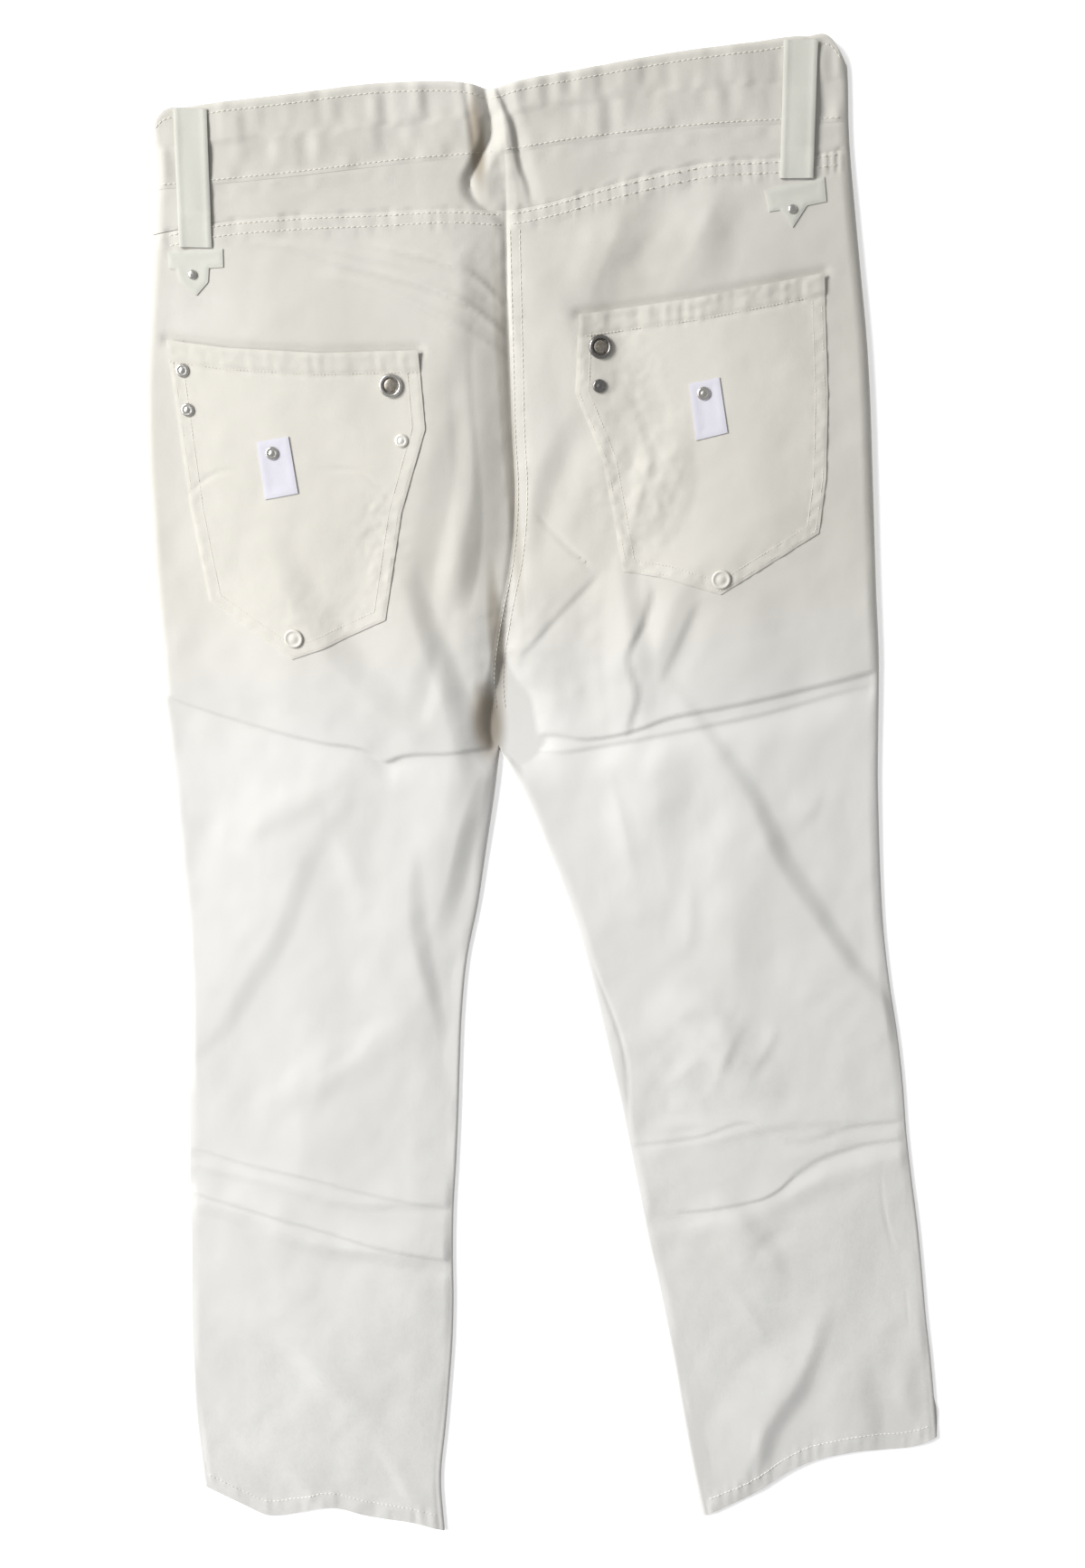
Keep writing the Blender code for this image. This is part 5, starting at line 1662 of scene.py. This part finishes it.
@dataclass
class StitchRun:
    """Rows of small stitches, joined in one mesh."""

    name: str
    thread: Stitching
    layer: float
    rows: list[Array]
    sides: int = 6
    sink: float = 0.45
    stations: tuple[float, ...] = (-0.5, -0.42, -0.2, 0.2, 0.42, 0.5)
    swells: tuple[float, ...] = (0.35, 0.8, 1.0, 1.0, 0.8, 0.35)

    def ends(self) -> tuple[Array, Array]:
        """Where each stitch starts and where it ends, seen from above."""
        length, pitch, _ = self.thread.value
        starts, ends = [], []
        for row in self.rows:
            along = lengths_along(row)
            places = np.arange(pitch / 2, along[-1] - pitch / 4, pitch)
            for shift, into in ((-length / 2, starts), (length / 2, ends)):
                into.append(points_along(row, along, np.clip(places + shift, 0.0, along[-1])))
        return np.concatenate(starts), np.concatenate(ends)

    def faces(self, count: int) -> list[list[int]]:
        """The faces of this many stitches: the sides of each, and then all caps."""
        per = len(self.stations) * self.sides
        k = np.arange(self.sides)
        sides = []
        for ring in range(len(self.stations) - 1):
            a, b = ring * self.sides + k, ring * self.sides + (k + 1) % self.sides
            sides.append(np.stack([a, b, b + self.sides, a + self.sides], axis=1))
        offsets = (np.arange(count) * per)[:, None, None]
        made = (np.concatenate(sides)[None] + offsets).reshape(-1, 4).tolist()
        made += [list(range(i * per, i * per + self.sides))[::-1] for i in range(count)]
        return made + [list(range(i * per + per - self.sides, i * per + per)) for i in range(count)]

    def build(self, dresser: Dresser) -> None:
        """Builds the stitches and joins them to the frame."""
        radius = self.thread.value[2]
        stations, swell = np.array(self.stations), np.array(self.swells)
        angles = np.linspace(0.0, 2 * np.pi, self.sides, endpoint=False)
        start, end = self.ends()
        middle = (start + end) / 2
        height = self.layer + dresser.drape.height(*middle.T)
        slope = dresser.drape.height(*end.T) - dresser.drape.height(*start.T)
        run = np.column_stack([end - start, slope])
        side = np.column_stack([-run[:, 1], run[:, 0], np.zeros(len(run))])
        side /= np.maximum(np.linalg.norm(side, axis=1, keepdims=True), 1e-9)
        up = np.array(UP)
        centre = np.column_stack([middle, height + radius * (1 - 2 * self.sink)])
        rings = centre[:, None] + stations[None, :, None] * run[:, None]
        rings[..., 2] -= (radius * (1 - swell))[None, :]
        around = (
            np.cos(angles)[None, None, :, None] * side[:, None, None]
            + np.sin(angles)[None, None, :, None] * up[None, None, None]
        )
        points = rings[:, :, None] + radius * swell[None, :, None, None] * around
        material = THREAD.material(dresser.groups)
        piece = mesh_piece(self.name, points.reshape(-1, 3), self.faces(len(run)), material)
        dresser.place(piece, THREAD.slot)


def offset_chain(chain: Sequence[Point] | Array, inset: float) -> Array:
    """A chain moved sideways by inset, to the right of its way, its corners kept.

    Args:
        chain: the chain's points.
        inset: how far it is moved.

    Returns:
        The moved chain.
    """
    points = np.asarray(chain, float)
    runs = np.diff(points, axis=0)
    runs /= np.linalg.norm(runs, axis=1, keepdims=True)
    normals = np.column_stack([runs[:, 1], -runs[:, 0]])
    before = np.concatenate([normals[:1], normals])
    after = np.concatenate([normals, normals[-1:]])
    miter = before + after
    miter /= np.maximum((miter * before).sum(axis=1, keepdims=True), 0.3)
    return points + inset * miter


def across_row(edge: Sequence[Point], above: float, start: float, stop: float) -> Array:
    """A row of sewing along an edge across the garment."""
    x = np.linspace(start, stop, 80)
    return np.column_stack([x, edge_curve(edge, x) + above])


@dataclass
class Sewing:
    """All the topstitching that shows."""

    double: tuple[float, float] = (2.2, 8.0)
    side_margin: float = 5.0
    waist_y: float = 480.0
    centre_clear: float = 3.0
    over_waist_seam: float = 2.6
    under_waist_edge: float = 5.5
    seat: tuple[float, float] = (140.0, 440.0)
    hem_clear: float = 1.5
    pocket_band: float = 13.0
    mouth_clear: float = 2.0
    steps: int = 80

    def pocket_rows(self, outline: PocketOutline) -> list[Array]:
        """Two rows round a pocket's sides and foot, and one under its top band."""
        chain = list(outline.left) + list(outline.foot[1:]) + list(outline.right[::-1][1:])
        rows = [offset_chain(chain, -inset) for inset in self.double]
        top = offset_chain(outline.top, self.pocket_band)
        top[0, 0] += self.mouth_clear
        top[-1, 0] -= self.mouth_clear
        return rows + [top]

    def build(self, dresser: Dresser) -> None:
        """Builds every run of stitches."""
        left, right = (float(section_edge(f"{side}_out", self.waist_y)) for side in SIGNS)
        start, stop = left + self.side_margin, right - self.side_margin
        halves = ((start, CENTRE_X - self.centre_clear), (CENTRE_X + self.centre_clear, stop))
        band = [across_row(WAISTBAND_SEAM, self.over_waist_seam, *span) for span in halves]
        band += [across_row(WAIST_EDGE, -self.under_waist_edge, start, stop)]
        StitchRun("stitches_waistband", Stitching.TOPSTITCH, 0.0, band).build(dresser)
        yoke = [across_row(YOKE_SEAM, -below, *span) for below in self.double for span in halves]
        y = np.linspace(*self.seat, self.steps)
        centre = [np.column_stack([section_edge("left_in", y) + inset, y]) for inset in self.double]
        StitchRun("stitches_seat", Stitching.TOPSTITCH, 0.0, yoke + centre).build(dresser)
        hems = []
        for edge in HEMS.values():
            xs = sorted(point.x for point in edge)
            start, stop = xs[0] + self.side_margin, xs[-1] - self.side_margin
            hems.append(across_row(edge, HEM_DEPTH - self.hem_clear, start, stop))
        StitchRun("stitches_hems", Stitching.TOPSTITCH, 0.0, hems).build(dresser)
        for side, outline in POCKETS.items():
            rows = self.pocket_rows(outline)
            StitchRun(f"stitches_pocket_{side}", Stitching.FINE, ON_PANEL, rows).build(dresser)


# Studs and rivets


@dataclass
class Stud:
    """A turned stud or rivet, square to the cloth that it stands on."""

    trim: Trim
    sides: int = 48

    PROFILES = {
        "ring": table(
            Turning,
            (4.7, 0.5), (4.8, 0), (7, 0), (7.3, 0.3), (7.3, 0.8), (7.1, 1.4), (6.6, 1.8), (6, 1.9),
            (5.4, 1.7), (5, 1.2),
        ),
        "cap": table(
            Turning,
            (0, 0), (4.3, 0), (4.4, 0.4), (4.1, 0.8), (3.5, 1.05), (2.4, 1.2), (1.2, 1.28), (0, 1.3),
        ),
        "rivet": table(
            Turning,
            (0, 0), (4, 0), (4.2, 0.3), (4.1, 0.7), (3.6, 1.1), (2.9, 1.2), (2.2, 0.95), (1.7, 1), (1.1, 1.4),
            (0, 1.5),
        ),
        "small": table(Turning, (0, 0), (2.7, 0), (2.8, 0.3), (2.5, 0.9), (1.6, 1.25), (0.8, 1.36), (0, 1.4)),
        "point": table(
            Turning,
            (0, 0), (5.9, 0), (6.2, 0.3), (6.1, 0.8), (5.5, 1.15), (4.8, 1.1), (4.3, 0.8), (3.2, 0.75),
            (2.3, 1), (1.2, 1.3), (0, 1.4),
        ),
    }
    SHAPES = {"dark ring": "ring", "dark rivet": "rivet", "pale": "rivet"}
    FINISHES = {
        "dark ring": SMOKED_NICKEL, "cap": DARK_NICKEL, "dark rivet": SMOKED_NICKEL, "pale": PALE_NICKEL,
        "point": ENAMEL,
    }

    def build(self, dresser: Dresser) -> None:
        """Spins the profile, seats it and joins it to the frame."""
        profile = self.PROFILES[self.SHAPES.get(self.trim.kind, self.trim.kind)]
        points, rings = [], []
        for turning in profile:
            if turning.radius == 0.0:
                rings.append([len(points)] * self.sides)
                points.append((0.0, 0.0, turning.height))
                continue
            rings.append(list(range(len(points), len(points) + self.sides)))
            for k in range(self.sides):
                angle, radius = 2 * math.pi * k / self.sides, turning.radius
                points.append((radius * math.cos(angle), radius * math.sin(angle), turning.height))
        if profile[0].radius > 0.0:
            rings.append(rings[0])
        faces = []
        for lower, upper in zip(rings[:-1], rings[1:]):
            for k in range(self.sides):
                n = (k + 1) % self.sides
                faces.append(tuple(dict.fromkeys((lower[k], lower[n], upper[n], upper[k]))))
        widest = max(turning.radius for turning in profile)
        foot, normal = dresser.drape.frame_at(self.trim.x, self.trim.y, widest)
        foot = foot + normal * self.trim.layer
        turn = np.array(Vector(normal).to_track_quat("Z", "Y").to_matrix())
        placed = np.array(points) @ turn.T + foot
        finish = self.FINISHES.get(self.trim.kind, NICKEL)
        piece = mesh_piece(f"trim_{self.trim.name}", placed, faces, finish.material(dresser.groups))
        dresser.place(piece, finish.slot, self.trim.name)


@dataclass
class HiddenFront:
    """The solids of the lower layer that stay as they are: they only get their finish."""

    cloth_nodes: tuple[str, ...] = ("waistband_front_left", "waistband_front_right", "fly_placket")
    button_node: str = "waist_button"

    def dress(self, dresser: Dresser) -> None:
        for name in self.cloth_nodes:
            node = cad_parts[name]
            self.paint(node, TWILL.material(dresser.groups))
            LOG.info("%s: finish only", name)
        self.paint(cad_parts[self.button_node], NICKEL.material(dresser.groups))

    def paint(self, node: bpy.types.Object, material: bpy.types.Material) -> None:
        """Puts a material in a node's first slot."""
        node.material_slots[0].material = material


# The studio


@dataclass
class SoftBox:
    """A square soft box that faces the garment's middle: where it stands, its side and its power."""

    name: str
    place: tuple[float, float, float]
    size: float
    power: float

    def build(self) -> None:
        """Builds the light."""
        data = bpy.data.lights.new(self.name, "AREA")
        data.shape, data.size, data.energy = "SQUARE", self.size, self.power
        light = add_object(self.name, data)
        light.location = self.place
        light.rotation_euler = (-Vector(self.place)).to_track_quat("-Z", "Y").to_euler()


@dataclass
class Studio:
    """A plain pale floor, soft light from the waist's left, and the camera over the garment's legs."""

    target: tuple[float, float, float] = (0.0181, 0.0840, 0.0)
    tilt: float = 17.0
    turn: float = 4.0
    distance: float = 1.03
    lens: float = 34.59
    sensor: float = 36.0
    floor_half: float = 6.0
    floor_tone: float = 0.9
    floor_glow: float = 0.4
    side_box: SoftBox = field(default_factory=lambda: SoftBox("side box", (-1.9, 0.4, 1.2), 1.0, 26.0))
    top_box: SoftBox = field(default_factory=lambda: SoftBox("top box", (-3.2, 2.5, 2.3), 1.4, 255.0))
    world_level: float = 0.35

    def build(self) -> None:
        """Builds floor, lights and camera."""
        self.build_floor()
        self.build_light()
        self.build_camera()
        bpy.context.scene.view_settings.view_transform = "Standard"

    def build_floor(self) -> None:
        """A white floor just under the cloth."""
        half = self.floor_half
        mesh = bpy.data.meshes.new("floor")
        corners = [(-half, -half, 0.0), (half, -half, 0.0), (half, half, 0.0), (-half, half, 0.0)]
        mesh.from_pydata(corners, [], [(0, 1, 2, 3)])
        floor = add_object("floor", mesh)
        material, shader = new_material("floor_white")
        set_inputs(shader, {"Base Color": (self.floor_tone,) * 3 + (1.0,), "Roughness": 1.0})
        set_inputs(shader, {"Specular IOR Level": 0.0, "Emission Color": WHITE})
        set_inputs(shader, {"Emission Strength": self.floor_glow})
        mesh.materials.append(material)

    def build_light(self) -> None:
        """Two soft boxes, one at the left and one far behind the waist, and an even white surround."""
        self.side_box.build()
        self.top_box.build()
        world = bpy.data.worlds.new("surround")
        world.use_nodes = True
        set_inputs(world.node_tree.nodes["Background"], {"Color": WHITE, "Strength": self.world_level})
        bpy.context.scene.world = world

    def build_camera(self) -> None:
        """The camera at the photo's angle."""
        tilt, turn = math.radians(self.tilt), math.radians(self.turn)
        level = math.sin(tilt)
        forward = Vector((-level * math.sin(turn), -level * math.cos(turn), -math.cos(tilt)))
        right = Vector((math.cos(turn), -math.sin(turn), 0.0))
        up = right.cross(forward)
        data = bpy.data.cameras.new("camera")
        data.lens, data.sensor_width, data.sensor_fit = self.lens, self.sensor, "AUTO"
        camera = add_object("camera", data)
        turned = Matrix((right, up, -forward)).transposed().to_4x4()
        camera.matrix_world = Matrix.Translation(Vector(self.target) - forward * self.distance) @ turned
        bpy.context.scene.camera = camera


def main() -> None:
    """Builds the jeans from the floor up, then the trim."""
    logging.basicConfig(level=logging.INFO, format="%(name)s: %(message)s")
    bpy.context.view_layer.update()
    groups = {"twill": twill_group(), "tone": tone_group(), "scuff": scuff_group()}
    dresser = Dresser(Drape(), groups)
    Studio().build()
    for side in SIGNS:
        FrontPanel(side).build(dresser)
        BackPanel(side).build(dresser)
        SeatBand(f"yoke_{side}", (side,), YOKE_SEAM, WAISTBAND_SEAM, 130, 26).build(dresser)
    SeatBand("waistband_back", tuple(SIGNS), WAISTBAND_SEAM, WAIST_EDGE, 150, 34, True).build(dresser)
    for side in SIGNS:
        back, pocket = f"cloth_back_{side}", f"cloth_pocket_{side}"
        Patch(
            f"pocket_{side}", POCKETS[side], POCKET_TWILL, POCKET_WALL, ON_PANEL, back,
            band_depth=14.0, pucker=POCKET_PUCKERS[side],
        ).build(dresser)
        Patch(
            f"label_{side}", LABELS[side], LABEL_CLOTH, LABEL_WALL, ON_POCKET + LABEL_WALL, pocket, 20, 30,
            rim=0.1, curl=0.2,
        ).build(dresser)
        Patch(f"loop_tab_{side}", TABS[side], LOOP_TWILL, POCKET_WALL, ON_PANEL, back, 36, 26).build(dresser)
        BeltLoop(side).build(dresser)
    Sewing().build(dresser)
    for trim in TRIMS:
        Stud(trim).build(dresser)
    HiddenFront().dress(dresser)


if __name__ == "__main__":
    main()
